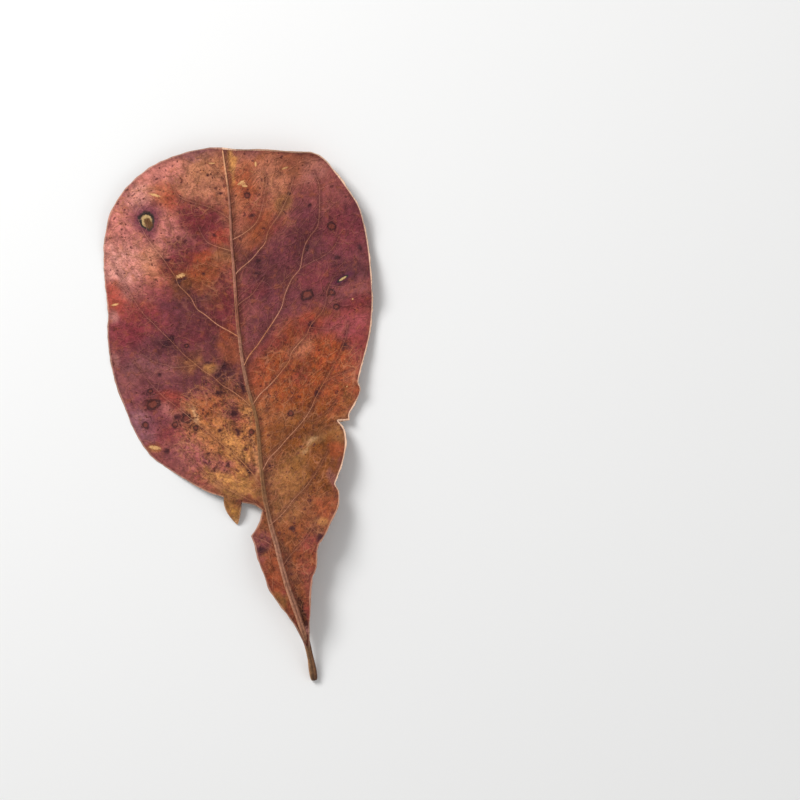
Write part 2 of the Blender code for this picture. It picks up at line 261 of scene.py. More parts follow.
# Side veins, each with its half thickness at the root and at its end, in millimetres, and its
# route from the midrib outwards. They arch up towards the tip and fork or fade near the margin.
SIDE_VEINS = [
    # right half, from the tip down
    (0.30, 0.12, [(-2.6, 66.0), (0, 66.8), (3, 68), (6.5, 70), (9, 72.8), (11, 77), (12.8, 82), (14, 86),
                  (13.6, 89.5)]),
    (0.36, 0.14, [(-3.6, 53.0), (-2, 54.5), (0.5, 56), (3.5, 57.8), (7, 60.8), (9.5, 63), (11, 66.5),
                  (13.5, 69.5), (16.5, 72.5), (19, 76), (21.5, 80), (24, 85)]),
    (0.26, 0.10, [(-5.2, 41.0), (-3.5, 42.5), (-1, 43.8), (1.5, 45), (4, 47.5), (7, 50.5)]),
    (0.42, 0.14, [(-5.8, 19.6), (-3.5, 22.7), (0, 25.8), (4, 30), (8.5, 34.8), (11.5, 38.6), (13, 42),
                  (15, 45.5), (17.5, 48.8), (20.5, 51.5), (22, 55.5), (24, 60), (26.5, 63), (29.5, 65.8),
                  (31, 70), (32.2, 76), (32.8, 81), (31.5, 86)]),
    (0.16, 0.08, [(20.5, 51.5), (25, 53.2), (29.5, 54.5), (34, 57), (37, 61)]),
    (0.38, 0.12, [(-5.2, 4.6), (-2, 7.8), (0.5, 9.5), (4, 12), (8, 15.5), (11, 18.5), (12, 21), (15, 23.8),
                  (19, 27), (20.5, 29.5), (22.5, 31.5), (26, 34.5), (28, 38), (29, 41.5), (32, 46)]),
    (0.15, 0.08, [(20.5, 29.5), (24, 28.4), (28, 27.6), (32, 28.2)]),
    (0.36, 0.11, [(-5.4, -19.8), (-2.5, -16.2), (1.5, -13.2), (6, -9.5), (9.5, -6.8), (12.5, -4.2),
                  (15.5, -1), (18.5, 3.6), (22, 8), (26, 13), (30, 18.5), (33, 23.5), (35, 29)]),
    (0.15, 0.08, [(22, 8), (26, 9.8), (30, 10.6), (34, 11.4)]),
    (0.14, 0.08, [(12.5, -4.2), (17, -4.6), (22, -2.4), (26, 1.2)]),
    (0.28, 0.09, [(-6.1, -40.4), (-2.5, -38.2), (1, -35.5), (4, -32.5), (7.5, -30), (10, -28), (15, -23),
                  (19.5, -17)]),
    (0.18, 0.08, [(-4.4, -56.5), (-1, -53), (4, -49.2), (8.5, -45), (12, -40.5)]),
    # left half, from the tip down
    (0.18, 0.09, [(-0.9, 88.2), (-3, 91.8), (-5.6, 95.6)]),
    (0.20, 0.09, [(-1.7, 73.5), (-5, 76.8), (-10, 80), (-15, 82.4), (-18.8, 85.0), (-20.6, 89.0),
                  (-21.0, 93)]),
    (0.30, 0.12, [(-3.0, 62.0), (-5, 62.9), (-8, 64.4), (-11.4, 66.6), (-12.8, 69.2), (-14, 73)]),
    (0.42, 0.14, [(-5.7, 30.0), (-9, 32.8), (-13, 36), (-17, 40.5), (-19.5, 43), (-21, 47.3), (-23, 50.4),
                  (-24.8, 53), (-25.4, 56), (-26.9, 59.4), (-28.6, 63.2), (-31.5, 68.2), (-34, 74),
                  (-35.5, 80)]),
    (0.30, 0.12, [(-6.1, 4.4), (-9, 8), (-12.6, 11.6), (-15, 13.6), (-18, 17.4), (-21.5, 20.6), (-24, 23.6),
                  (-27, 27), (-29, 30), (-31, 33), (-34, 37), (-36.5, 40.6), (-39.6, 44.8), (-42, 50),
                  (-45, 58), (-47.6, 65)]),
    (0.20, 0.09, [(-23.4, 22.8), (-26, 22.6), (-29, 22.8), (-32, 23.2), (-34.5, 24.6), (-38, 26.2),
                  (-43, 30.4)]),
    (0.14, 0.08, [(-42, 50), (-44, 52), (-46.6, 56.4), (-49, 59)]),
    (0.30, 0.10, [(-6.6, -25.8), (-10, -19.6), (-14, -13.4), (-19, -7.6), (-24, -1.6), (-29, 4), (-34, 9.6),
                  (-37.6, 13.6), (-42, 20), (-46, 28)]),
    (0.22, 0.09, [(-6.8, -35.4), (-11, -30.9), (-15, -28.0), (-20, -24.2), (-25, -19.6), (-30, -13.4),
                  (-35, -6)]),
    (0.24, 0.12, [(-6.3, -48.2), (-9.6, -45.4), (-13.0, -43.8)]),
    (0.20, 0.10, [(-4.4, -64.6), (-7, -62.6), (-9.2, -60.2)]),
]
VEIN_STEP = 0.7


def vein_route(points):
    """The given points joined by a smooth curve, as evenly spaced places."""
    points = np.array(points, float)
    gone = np.concatenate([[0], np.cumsum(np.linalg.norm(np.diff(points, axis=0), axis=1))])
    count = max(4, round(gone[-1] / VEIN_STEP))
    along = np.linspace(0, gone[-1], count + 1)
    return smooth(np.column_stack([gone, points]), along), along / gone[-1]


def distance_to(places, marks, weights=None):
    """From each place to the nearest mark, and that mark's weight."""
    tree = KDTree(len(marks))
    for i, mark in enumerate(marks):
        tree.insert((mark[0], mark[1], 0.0), i)
    tree.balance()
    found = [tree.find((p[0], p[1], 0.0)) for p in places]
    distance = np.array([f[2] for f in found])
    return distance if weights is None else (distance, np.array(weights)[[f[1] for f in found]])


vein_marks, vein_sizes = [], []
for root, end, points in SIDE_VEINS:
    route, along = vein_route(points)
    vein_marks += route.tolist()
    vein_sizes += (root + (end - root) * along).tolist()
vein_distance, vein_size = distance_to(flat_places, vein_marks, vein_sizes)
edges = [margin_points(m, np.linspace(m[0][0][0], m[-1][-1][0], 900)) for m in (LEFT_MARGIN, RIGHT_MARGIN)]
tip_edge = np.linspace(edges[0][-1], edges[1][-1], 20)
rim_distance = distance_to(flat_places, np.concatenate(edges + [tip_edge]))
rib_distance = np.abs(flat_places[:, 0] - smooth(RIB_LINE, flat_places[:, 1])[:, 0])

# Spots left by fungus and insects: (x, y, half width, half length, turn in degrees, and how much
# wider it is at its upper end, if it is).
EATEN_SPOTS = [      # papery wounds, sunk in a dark raised ring
    (-32.2, 78.0, 2.65, 3.4, 12, 0.26), (35.6, 45.2, 2.4, 0.6, 22),
]
EATEN_HEARTS = [(-31.8, 77.2, 1.55, 2.4, 16), (36.2, 44.9, 1.0, 0.3, 22)]
FLECKS = [           # bare papery flecks without a ring
    (-27.6, 87.0, 2.3, 0.55, -26), (-23.4, 56.2, 1.9, 0.8, 6), (-43.8, -5.0, 2.3, 0.9, -16),
    (4.6, 86.2, 1.6, 0.5, 22), (5.6, 84.8, 1.2, 0.5, -20), (-49.4, 49.8, 1.5, 0.5, 0),
    (21.4, 88.8, 1.6, 0.35, 10), (11.0, 92.0, 0.5, 1.0, 0), (-5.0, 95.0, 1.4, 0.25, -12),
    (30.5, 5.4, 0.4, 0.3, 0), (38.0, 37.0, 0.35, 0.35, 0),
]
RING_SPOTS = [       # dark rings round a paler middle
    (34.7, 65.0, 1.5, 1.4, 0), (21.6, 41.5, 2.3, 1.8, 20), (30.7, 40.8, 1.4, 1.2, 0),
    (31.6, 35.3, 1.1, 1.0, 0), (5.9, 81.2, 1.1, 1.0, 0), (-41.4, 11.2, 2.7, 1.9, 12),
    (-41.7, 16.0, 1.0, 0.9, 0), (-27.4, -0.4, 1.1, 1.0, 0), (-34.6, 2.0, 1.2, 1.1, 0),
    (-45.6, 3.8, 1.1, 1.4, 0), (8.4, -0.8, 1.1, 1.0, 0), (-30.2, 3.6, 1.7, 1.9, 0),
    (-7.4, -5.2, 1.0, 1.0, 0), (-25.6, 30.2, 0.9, 0.8, 0),
]
DARK_SPOTS = [       # soft blackish stains
    (35.2, 45.0, 3.4, 2.1, 22), (24.6, 58.6, 1.2, 1.5, 0), (-25.0, 54.2, 0.8, 1.5, 20),
    (-22.6, 54.9, 1.6, 0.5, 6), (21.0, 30.4, 1.6, 1.8, 0), (-16.8, 11.0, 1.7, 1.1, 0),
    (-39.4, -7.0, 1.5, 1.1, 20), (19.2, 4.8, 1.3, 1.6, 0), (32.4, 20.4, 2.0, 1.6, 0),
    (1.8, -43.0, 1.3, 1.0, 0), (-11.0, -48.8, 1.5, 1.6, 0), (-10.6, -19.4, 1.0, 1.9, 0),
    (-33.6, 4.8, 1.6, 1.3, 0), (-16.4, 17.4, 1.5, 1.1, 0), (-13.0, 20.5, 1.4, 1.8, 0),
    (-12.4, 2.8, 1.6, 2.4, 10), (-7.8, 11.6, 0.9, 2.6, 8), (6.5, 73.6, 1.3, 0.9, 0),
    (28.2, 74.0, 0.9, 1.0, 0), (-37.2, 21.4, 1.3, 1.1, 0), (34.6, 53.4, 1.6, 1.2, 0),
    (4.6, 52.4, 1.9, 0.8, -20), (6.0, 57.0, 1.3, 0.9, 0), (-27.4, 62.8, 1.1, 0.7, 0),
    (-3.6, 83.6, 0.9, 0.6, 0), (-8.6, 68.8, 0.7, 0.9, 0), (-12.2, -4.6, 0.8, 1.6, 0),
    (-15.0, 55.6, 0.9, 0.7, 0), (11.6, -47.6, 2.2, 1.0, 30), (43.8, 54.8, 0.9, 2.2, 0),
    (-19.2, 22.8, 1.4, 0.8, 0), (-18.6, -2.8, 0.9, 0.7, 0), (-24.4, -10.6, 1.6, 0.8, 20),
    (-17.8, -16.0, 0.8, 1.0, 0), (-2.6, -18.8, 0.8, 0.8, 0), (-33.0, 32.0, 3.0, 1.8, 0),
    (21.3, 79.4, 0.8, 0.7, 0), (-7.0, 91.0, 0.6, 0.6, 0), (-30.6, 34.2, 1.6, 1.2, 0),
]


def spot_field(places, spots):
    """Each place seen from the middle of its nearest spot, in shares of that spot's size."""
    nearest = np.full((len(places), 3), 9.0)
    for x, y, wide, long, turn, *taper in spots:
        dx, dy = places[:, 0] - x, places[:, 1] - y
        c, s = math.cos(math.radians(turn)), math.sin(math.radians(turn))
        up = (dy * c - dx * s) / long
        side = (dx * c + dy * s) / wide
        if taper:
            side /= np.clip(1 + taper[0] * up, 0.3, 2)
        closer = np.hypot(side, up) < np.linalg.norm(nearest, axis=1)
        nearest[closer] = np.stack([side, up, side * 0], 1)[closer]
    return nearest


eaten = spot_field(flat_places, EATEN_SPOTS)
heart = spot_field(flat_places, EATEN_HEARTS)
fleck = spot_field(flat_places, FLECKS)
ringed = spot_field(flat_places, RING_SPOTS)
stained = spot_field(flat_places, DARK_SPOTS)
eaten_away = np.linalg.norm(eaten, axis=1)
ringed_away = np.linalg.norm(ringed, axis=1)

# The relief of both faces, in millimetres, over the smooth middle of the sheet.
pucker = 0.42 * wander(flat_places, 11.0, 1) + 0.26 * wander(flat_places, 5.2, 2)
pucker += 0.09 * wander(flat_places, 2.1, 5)
pucker *= step(0.8, 4.5, rib_distance)
quilt = 0.40 * (1 - np.exp(-vein_distance / 2.6)) * step(0.5, 5, rim_distance) * step(1.0, 5.0, rib_distance)
ridge = 0.9 * vein_size * np.exp(-(vein_distance / (0.5 + vein_size)) ** 2)
shoulder = 0.10 * np.exp(-(rib_distance / 1.8) ** 2)
sunk = 0.24 * (1 - step(0.55, 0.95, eaten_away))
sunk -= 0.16 * step(0.7, 1.0, eaten_away) * (1 - step(1.0, 1.45, eaten_away))
sunk -= 0.08 * step(0.5, 0.8, ringed_away) * (1 - step(0.9, 1.3, ringed_away))
# A fold runs in from the right margin.
fold_line = flat_places[:, 1] - 39.5 - 0.10 * (flat_places[:, 0] - 45)
fold = 0.7 * np.exp(-(fold_line / 3.4) ** 2) * step(22, 44, flat_places[:, 0])
fold -= 0.6 * np.exp(-((fold_line + 7) / 3.6) ** 2) * step(24, 44, flat_places[:, 0])
relief = pucker + quilt + shoulder + fold
thickness = BLADE_THICKNESS * (1 - 0.45 * np.exp(-rim_distance / 0.8))
level = np.maximum(flat_places[:, 2], BLADE_THICKNESS / 2)
under_z = np.maximum(level + relief - ridge - thickness / 2, 0.0)
upper_z = np.maximum(level + relief + 0.55 * ridge - sunk + thickness / 2, under_z + 0.16)

# How the tints lie on the blade. Each wash is laid over the ones before it:
# (tint, x, y, half width, half length, turn in degrees, strength).
TINTS = {
    "dusty_pink": (206, 134, 125), "pale_pink": (224, 168, 156), "salmon_tan": (190, 128, 104),
    "sand": (206, 150, 108), "mauve": (127, 67, 76), "deep_mauve": (102, 53, 61), "burgundy": (127, 53, 61),
    "crimson": (146, 64, 73), "scarlet": (180, 82, 64), "orange": (172, 86, 48), "rust": (150, 76, 38),
    "copper": (158, 90, 60), "tan_brown": (142, 88, 50), "khaki": (158, 114, 68),
    "olive_brown": (118, 72, 44), "ochre": (185, 125, 78), "gold": (202, 148, 90),
    "grey_mauve": (144, 94, 98), "painted_sheen_lavender": (164, 112, 120), "magenta": (138, 74, 86),
    "plum": (84, 46, 58), "bark": (104, 66, 48), "burnt": (158, 79, 33), "umber": (131, 76, 20),
    "orchid": (164, 98, 96), "clay": (182, 116, 90), "raspberry": (167, 86, 92),
    "rose_brown": (154, 88, 84), "painted_shadow_brown": (64, 32, 18), "cream": (226, 186, 142),
    "old_gold": (184, 136, 74),
}
WASHES = [
    # broad fields
    ("dusty_pink", -38, 72, 20, 26, 0, 1.0), ("salmon_tan", -13, 90, 19, 10, 0, 1.0),
    ("mauve", 32, 65, 22, 25, -18, 1.0), ("mauve", 9, 50, 17, 12, -30, 1.0),
    ("clay", 10, 84, 14, 18, -14, 1.0), ("mauve", -30, 38, 24, 13, 0, 1.0),
    ("grey_mauve", -42, 20, 16, 14, 0, 0.4), ("rust", 20, 20, 24, 14, 20, 1.0),
    ("tan_brown", 8, -6, 22, 18, 0, 1.0), ("ochre", -17, -6, 17, 22, -30, 0.9),
    ("orchid", -33, -10, 16, 8, -38, 0.9), ("tan_brown", 4, -34, 20, 24, 0, 0.9),
    ("rust", 2, -62, 12, 24, 0, 0.7),
    # the tip, left of the midrib
    ("grey_mauve", -8, 99, 12, 2.6, -4, 0.8), ("grey_mauve", -39, 91, 9, 3, 42, 0.35),
    ("dusty_pink", -24, 94, 8, 5, 0, 0.8), ("orange", -25, 86, 5.5, 5.0, 0, 0.5),
    ("scarlet", -21, 83, 3.5, 6, -15, 0.55), ("salmon_tan", -10, 84, 9, 6, 0, 0.6),
    ("magenta", -33, 78, 8, 7, 0, 0.35), ("dusty_pink", -24, 73, 6, 7, 0, 0.8),
    ("pale_pink", -43, 63, 8, 9, 0, 0.55), ("sand", -33, 63, 6, 6, 0, 0.45),
    ("pale_pink", -50, 70, 3, 12, 10, 0.3), ("dusty_pink", -44, 80, 6, 7, 30, 0.6),
    # the burgundy patch left of the midrib and the brown below it
    ("burgundy", -12, 75, 8.5, 7.5, -15, 0.95), ("burgundy", -18, 81, 4, 4, 0, 0.6),
    ("burgundy", -21, 61, 10, 6.5, 20, 0.95), ("mauve", -22, 68, 5, 4, 0, 0.5),
    ("scarlet", -7, 67, 4, 3.6, 20, 0.75), ("orange", -14, 61.5, 4, 2.6, 0, 0.75),
    ("khaki", -7, 60.5, 4, 4, 0, 0.55), ("copper", -13, 55, 10, 5.5, 0, 0.8),
    ("rust", -17, 54, 9, 5, 0, 0.55), ("orange", -31, 57, 6, 4, 0, 0.30),
    ("olive_brown", -24, 52, 5.5, 5, 0, 0.8), ("burgundy", -14, 45, 13, 6, 0, 0.55),
    ("burgundy", -8, 48, 5.5, 6, 0, 0.8), ("olive_brown", -14, 47, 5, 5, 0, 0.55),
    # the left margin
    ("scarlet", -49, 53, 4, 5.5, 0, 0.8), ("scarlet", -43, 46.5, 9, 4, -10, 0.5),
    ("crimson", -46, 45, 7, 5, 0, 0.5), ("pale_pink", -51, 45.5, 2.2, 3.5, 0, 0.45),
    ("crimson", -46, 38, 8, 4.5, 0, 0.85), ("crimson", -36, 40, 7, 5, 0, 0.6),
    ("rose_brown", -39, 53, 7, 4, 0, 0.5), ("crimson", -32, 51, 5, 4, 0, 0.55),
    ("mauve", -41, 30, 12, 6, 0, 0.7), ("deep_mauve", -32, 31, 7, 4, 0, 0.8),
    ("deep_mauve", -22, 46, 6, 4.5, 0, 0.7), ("burgundy", -20, 35, 9, 5, 0, 0.6),
    ("deep_mauve", -15, 30, 5, 4, 0, 0.6), ("deep_mauve", -20, 38, 10, 4, 0, 0.5),
    # painted sheen: the lavender washes on this line and the next, where the left margin rolls down
    ("pale_pink", -53, 30, 1.6, 3, 0, 0.25), ("painted_sheen_lavender", -51.6, 14, 1.2, 15, 14, 0.3),
    ("painted_sheen_lavender", -47.4, 4.5, 4.2, 7, 30, 1.0), ("grey_mauve", -44, 26, 8, 4, 0, 0.5),
    ("mauve", -40, 15, 9, 6, 0, 0.7), ("mauve", -29, 15, 8, 7, 0, 0.7),
    # right of the midrib near the tip
    ("orange", 5, 88, 5, 7, 0, 0.6), ("orange", 8, 78, 5, 6, -20, 0.5),
    ("grey_mauve", 7, 97, 7, 2.4, -6, 0.6), ("salmon_tan", 17, 86, 7, 7, 0, 0.65),
    ("clay", 29, 87, 10, 7, -20, 0.9), ("khaki", 18.5, 76, 2.8, 5, -35, 0.6),
    ("rose_brown", 9.5, 77, 4, 7, -30, 0.5), ("crimson", 4, 72.5, 5, 2.6, 10, 0.65),
    ("olive_brown", 0.5, 60, 3, 6, 0, 0.45), ("copper", 6, 65, 5, 4, 20, 0.75),
    ("crimson", 14, 68.5, 4.5, 2.4, 40, 0.55), ("rust", 9, 70, 6, 5, 0, 0.6),
    ("clay", -1, 94, 4, 5, 0, 0.4), ("rose_brown", 36, 80, 9, 11, 0, 0.85),
    ("clay", 0.5, 74, 4.5, 10, 0, 0.55), ("clay", 1, 95, 8, 5, 0, 0.6),
    ("rose_brown", 29, 80, 6, 7, 0, 0.35),
    # the mauve field's depths and lights
    ("deep_mauve", 9, 52, 9, 6, -30, 0.8), ("deep_mauve", 24, 58, 5, 6, 0, 0.5),
    ("crimson", 38, 62, 7, 8, 0, 0.35), ("crimson", 26, 48, 7, 5, 0, 0.4),
    # painted highlight: the grey_mauve wash at (38, 37.5) on the next line lights the fold that runs in from
    # the right margin
    ("deep_mauve", 40, 47, 8, 5, 0, 0.75), ("grey_mauve", 38, 37.5, 8, 2.6, 0, 0.35),
    ("crimson", 3, 47, 4, 3, 0, 0.5), ("mauve", 8, 38, 7, 6, 0, 0.6), ("deep_mauve", 2, 33, 5, 4, 0, 0.6),
    ("crimson", 38, 35, 8, 3, 0, 0.6), ("raspberry", 34, 28, 11, 5, 0, 0.9),
    ("scarlet", 21, 31, 4, 3.6, 0, 0.5), ("mauve", 15, 38, 7, 3.5, 0, 0.75),
    ("mauve", 31, 38, 6, 4, 0, 0.5), ("burgundy", 19, 28, 5, 4, 0, 0.5), ("crimson", 38, 20, 5, 6, 0, 0.65),
    # rust and tan right of the midrib
    ("crimson", 5, 26, 6, 4, 0, 0.4), ("orange", -1.5, 13, 4.5, 8, 0, 0.75),
    ("mauve", 1, 31, 6, 4.5, 0, 0.6), ("orange", 7, 11, 6, 6, 0, 0.4), ("clay", 15, 22, 6, 4, 30, 0.7),
    ("orange", 26, 20, 7, 6, 0, 0.7), ("rust", 12, 17, 5, 3, 0, 0.6), ("orange", 27, 14, 7, 6, 0, 0.45),
    ("burnt", 22, 3, 14, 10, 0, 0.75), ("burnt", 8, 5, 7, 6, 0, 0.6), ("crimson", 14, 12, 3, 4, 0, 0.35),
    ("copper", 33, 7, 4, 6, 0, 0.6), ("khaki", 30, 0, 3, 4, 0, 0.4), ("copper", 0, -2, 5, 8, 0, 0.5),
    ("olive_brown", 12, -3, 4, 3, 0, 0.5), ("umber", 14, -15, 12, 16, 0, 1.0),
    ("umber", 0, -10, 5, 7, 0, 0.6), ("khaki", 14, -13, 8, 2.6, 32, 0.7),
    ("cream", 14.6, -12.6, 3.0, 0.9, 32, 0.55), ("cream", 11.4, -15.4, 1.5, 0.8, 32, 0.45),
    ("khaki", 24.5, -11, 3, 5, 0, 0.5), ("orange", 22.6, -16.6, 2.6, 3.4, 20, 0.6),
    ("olive_brown", 17, -8, 5, 3, 30, 0.5), ("khaki", 6, -20, 7, 5, 20, 0.5),
    ("umber", 16, -24, 6, 5, 0, 0.7), ("grey_mauve", 19.5, -27, 1.8, 4, 0, 0.6),
    ("bark", -3, -28, 2.5, 12, 0, 0.5), ("olive_brown", 3, -30, 6, 5, 0, 0.35),
    ("orange", 15, -37, 4, 4, 0, 0.6), ("gold", 13.5, -42, 2.4, 1.6, 0, 0.6),
    ("bark", 11.4, -46.4, 3, 2, 0, 0.7), ("khaki", 1, -36, 6, 6, 0, 0.5), ("gold", 3, -26, 7, 5, 0, 0.35),
    ("crimson", 8, -49, 4, 4, 0, 0.45), ("tan_brown", 0, -48, 4, 6, 0, 0.5),
    # painted shadow: the bark wash at (-0.8, -60) and the darkest brown wash at (0.3, -75) on the next lines
    # paint the midrib's shadow on the blade just right of it near the stalk
    ("rose_brown", 4, -60, 3, 8, 0, 0.4), ("bark", -0.8, -60, 1.8, 14, 8, 0.75),
    ("painted_shadow_brown", 0.3, -75, 2.1, 10, 6, 1.0), ("crimson", 3, -74, 1.6, 5, 0, 0.4),
    # gold and purple left of the midrib
    ("burgundy", -9, 39, 6, 6, 0, 0.65), ("deep_mauve", -16, 18, 13, 9, 0, 0.65),
    ("copper", -10, 26, 4.5, 7, 0, 0.75), ("orange", -9, 33, 3, 3, 0, 0.5),
    ("olive_brown", -26, 24, 5, 4, 30, 0.55), ("gold", -18.5, 20.5, 3.4, 2.4, 20, 0.75),
    ("ochre", -24, 23, 3, 2, 0, 0.5), ("plum", -13.5, 18, 4, 4, 0, 0.75),
    ("olive_brown", -15, 12, 4, 4, 0, 0.4), ("plum", -8, 11, 1.4, 5, 5, 0.85),
    ("magenta", -13, 4, 4, 4, 0, 0.6), ("plum", -11.6, 1.6, 2.4, 3.4, 0, 0.55),
    ("gold", -8, 4, 1.8, 4, -20, 0.7), ("scarlet", -34, 12, 6, 3, -25, 0.6),
    ("orange", -41.4, 11.2, 3, 2, 0, 0.6), ("dusty_pink", -37, 8, 3, 3, 0, 0.5),
    ("magenta", -42, 4, 6, 5, 0, 0.6), ("crimson", -38, -2, 6, 3, 20, 0.65),
    ("gold", -27, 4, 2.4, 6, 25, 0.5), ("cream", -26.4, 4.6, 1.1, 3.6, 16, 0.95),
    # painted highlight: the two sand washes on the next line light the strip of blade just left of the
    # midrib
    ("sand", -7.5, -16, 1.2, 9, 0, 0.8), ("sand", -6.9, 0, 1.0, 4, 0, 0.5),
    ("khaki", -25, 8.5, 4, 2, 0, 0.45), ("copper", -20, 7, 5, 5, 0, 0.6), ("ochre", -20, -3, 6, 5, 0, 0.6),
    ("gold", -14, -11, 4, 8, 30, 0.7), ("gold", -11, -23, 3, 8, 18, 0.6),
    ("magenta", -27, -14, 4, 3, -30, 0.6), ("ochre", -22, -9, 5, 4, 0, 0.5),
    ("magenta", -19, -17, 3, 3, 0, 0.6), ("orchid", -34, -9, 9, 4, -38, 0.7),
    ("magenta", -38, -9, 5, 2, -38, 0.4), ("crimson", -28, -19, 4, 2.4, -38, 0.5),
    ("gold", -22, -21, 7, 3.0, -32, 0.8), ("gold", -16, -24, 5, 4, 0, 0.8),
    ("khaki", -18.5, -26.6, 4, 1.6, -25, 0.6), ("magenta", -9.6, -19, 1.8, 2.6, 0, 0.5),
    ("crimson", -10.5, -1, 3, 3, 0, 0.4), ("gold", -44, -5.4, 3, 1.6, -20, 0.5),
    ("bark", -8, -29, 2, 5, 20, 0.4),
    # the torn lobe beside the stalk
    ("magenta", -10, -46, 4, 4, 0, 0.6), ("plum", -10.6, -49.4, 2.4, 2.4, 0, 0.55),
    ("copper", -9, -57, 4, 5, 0, 0.7), ("orange", -8.6, -63, 2.6, 4, 0, 0.5),
    ("khaki", -7, -67, 2.6, 3, 0, 0.5), ("crimson", -6.6, -65, 1.8, 1.4, 0, 0.5),
    ("khaki", -8.0, -69, 2.2, 5, 12, 0.8), ("olive_brown", -4.4, -75, 2.0, 5, 10, 0.6),
    ("tan_brown", 2.6, -66, 1.4, 6, 6, 0.4), ("bark", -2.4, -81, 2, 5, 8, 0.8),
    # painted highlight: the pale_pink wash at (1.2, -80.8) on the next line lights the curled-up base of the
    # right half where it meets the stalk
    ("bark", 0.6, -86, 1.6, 3, 0, 0.8), ("pale_pink", 1.2, -80.8, 1.0, 1.8, 0, 0.9),
    # painted shadow: a grey-brown band along the blade's edge above the tear
    ("olive_brown", -13.0, -30.6, 6, 1.1, -28, 0.5), ("khaki", -17, -27.4, 3, 0.9, -28, 0.6),
    # lights here and there, and the gold strip along the midrib at the tip
    ("pale_pink", -33, 87, 5, 4, 30, 0.45), ("pale_pink", 32, 87, 5, 5, 0, 0.2),
    ("rose_brown", -4, 52, 6, 6, 0, 0.45), ("clay", 16, 22, 5, 4, 30, 0.5), ("rust", -23, 6, 5, 5, 0, 0.35),
    # the lavender wash on this line is painted sheen on the rolled-down left margin
    ("rust", -9, 7, 2, 4, 0, 0.35), ("painted_sheen_lavender", -48, 6, 4, 4, 20, 0.5),
    ("rose_brown", 12, 50, 8, 5, -30, 0.2), ("ochre", 8, -2, 5, 4, 0, 0.35), ("sand", -6, 94, 9, 5, 0, 0.3),
    ("magenta", -49, 14, 3, 5, 0, 0.4), ("dusty_pink", -40, 62, 4, 4, 0, 0.4),
    ("khaki", 27, -8, 3, 4, 0, 0.5), ("gold", 1.9, 93.5, 1.4, 6.0, 0, 0.9),
]


def linear(colour):
    """An sRGB colour of 0 to 255 as the linear light that a shader takes."""
    c = np.array(colour, float) / 255
    return np.where(c <= 0.04045, c / 12.92, ((c + 0.055) / 1.055) ** 2.4)


def washed(places):
    """The tint at each place, with every wash's border frayed by noise."""
    frayed = places[:, :2] + np.stack([
        1.7 * wander(places, 7.0, 11) + 0.9 * wander(places, 2.4, 12),
        1.7 * wander(places, 7.0, 13) + 0.9 * wander(places, 2.4, 14)], 1)
    fray = 0.22 * wander(places, 1.5, 15)
    tint = np.tile(linear(TINTS["rose_brown"]), (len(places), 1))
    for name, x, y, wide, long, turn, strength in WASHES:
        dx, dy = frayed[:, 0] - x, frayed[:, 1] - y
        c, s = math.cos(math.radians(turn)), math.sin(math.radians(turn))
        away = np.hypot((dx * c + dy * s) / wide, (dy * c - dx * s) / long)
        cover = strength * (1 - step(0.55, 1.4, away + fray))
        tint += (linear(TINTS[name]) - tint) * cover[:, None]
    return tint


# How thickly the freckles lie, and how grainy the tissue is: (x, y, half width, half length, amount).
FRECKLES = [
    (-38, 72, 20, 24, 0.85), (-12, 90, 18, 10, 0.7), (10, 82, 14, 14, 0.6), (-17, -2, 17, 22, 1.0),
    (-14, 12, 12, 10, 0.95), (12, 2, 22, 24, 0.75), (4, -40, 16, 26, 0.7), (-12, 52, 12, 8, 0.6),
    (-43, 8, 10, 16, 0.45),
]
GRAIN = [
    (18, 10, 26, 22, 0.49), (-18, -4, 20, 24, 0.70), (4, -40, 24, 44, 0.42), (-34, 74, 24, 26, 0.40),
    (-10, 88, 20, 14, 0.42), (10, 84, 16, 16, 0.42), (-12, 54, 14, 10, 0.42),
]


def density(places, fields, ground):
    """The amount at each place: that of the strongest field there, and never less than the ground."""
    found = np.full(len(places), ground)
    for x, y, wide, long, amount in fields:
        away = np.hypot((places[:, 0] - x) / wide, (places[:, 1] - y) / long)
        found = np.maximum(found, amount * (1 - step(0.6, 1.25, away)))
    return found


def carry(mesh, name, values):
    """Keep something for each point of the mesh: a colour if it is a tint, a vector or a number."""
    values = np.asarray(values, np.float32)
    kind, key = ("FLOAT", "value") if values.ndim == 1 else ("FLOAT_VECTOR", "vector")
    if name == "tint":
        values = np.column_stack([values, np.ones(len(values), np.float32)])
        kind, key = "FLOAT_COLOR", "color"
    mesh.attributes.new(name, kind, "POINT").data.foreach_set(key, values.ravel())


def closed_sheet(name, upper, under, values):
    """A closed sheet from two grids of places, with attributes that are the same on both faces."""
    high, wide = upper.shape[:2]
    size = high * wide
    ids = np.arange(size).reshape(high, wide)
    a, b, c, d = ids[:-1, :-1].ravel(), ids[:-1, 1:].ravel(), ids[1:, 1:].ravel(), ids[1:, :-1].ravel()
    top_faces = np.stack([a, b, c, d], 1)
    rim = np.concatenate([ids[0, :-1], ids[:-1, -1], ids[-1, :0:-1], ids[:0:-1, 0]])
    after = np.roll(rim, -1)
    rim_faces = np.stack([after, rim, rim + size, after + size], 1)
    faces = np.concatenate([top_faces, top_faces[:, ::-1] + size, rim_faces])
    mesh = bpy.data.meshes.new(name)
    points = np.concatenate([upper.reshape(-1, 3), under.reshape(-1, 3)]) * MM
    mesh.from_pydata(points.tolist(), [], faces.tolist())
    for key, value in values.items():
        carry(mesh, key, np.concatenate([value, value]))
    carry(mesh, "underside", np.repeat([0.0, 1.0], size))
    mesh.shade_smooth()
    return mesh


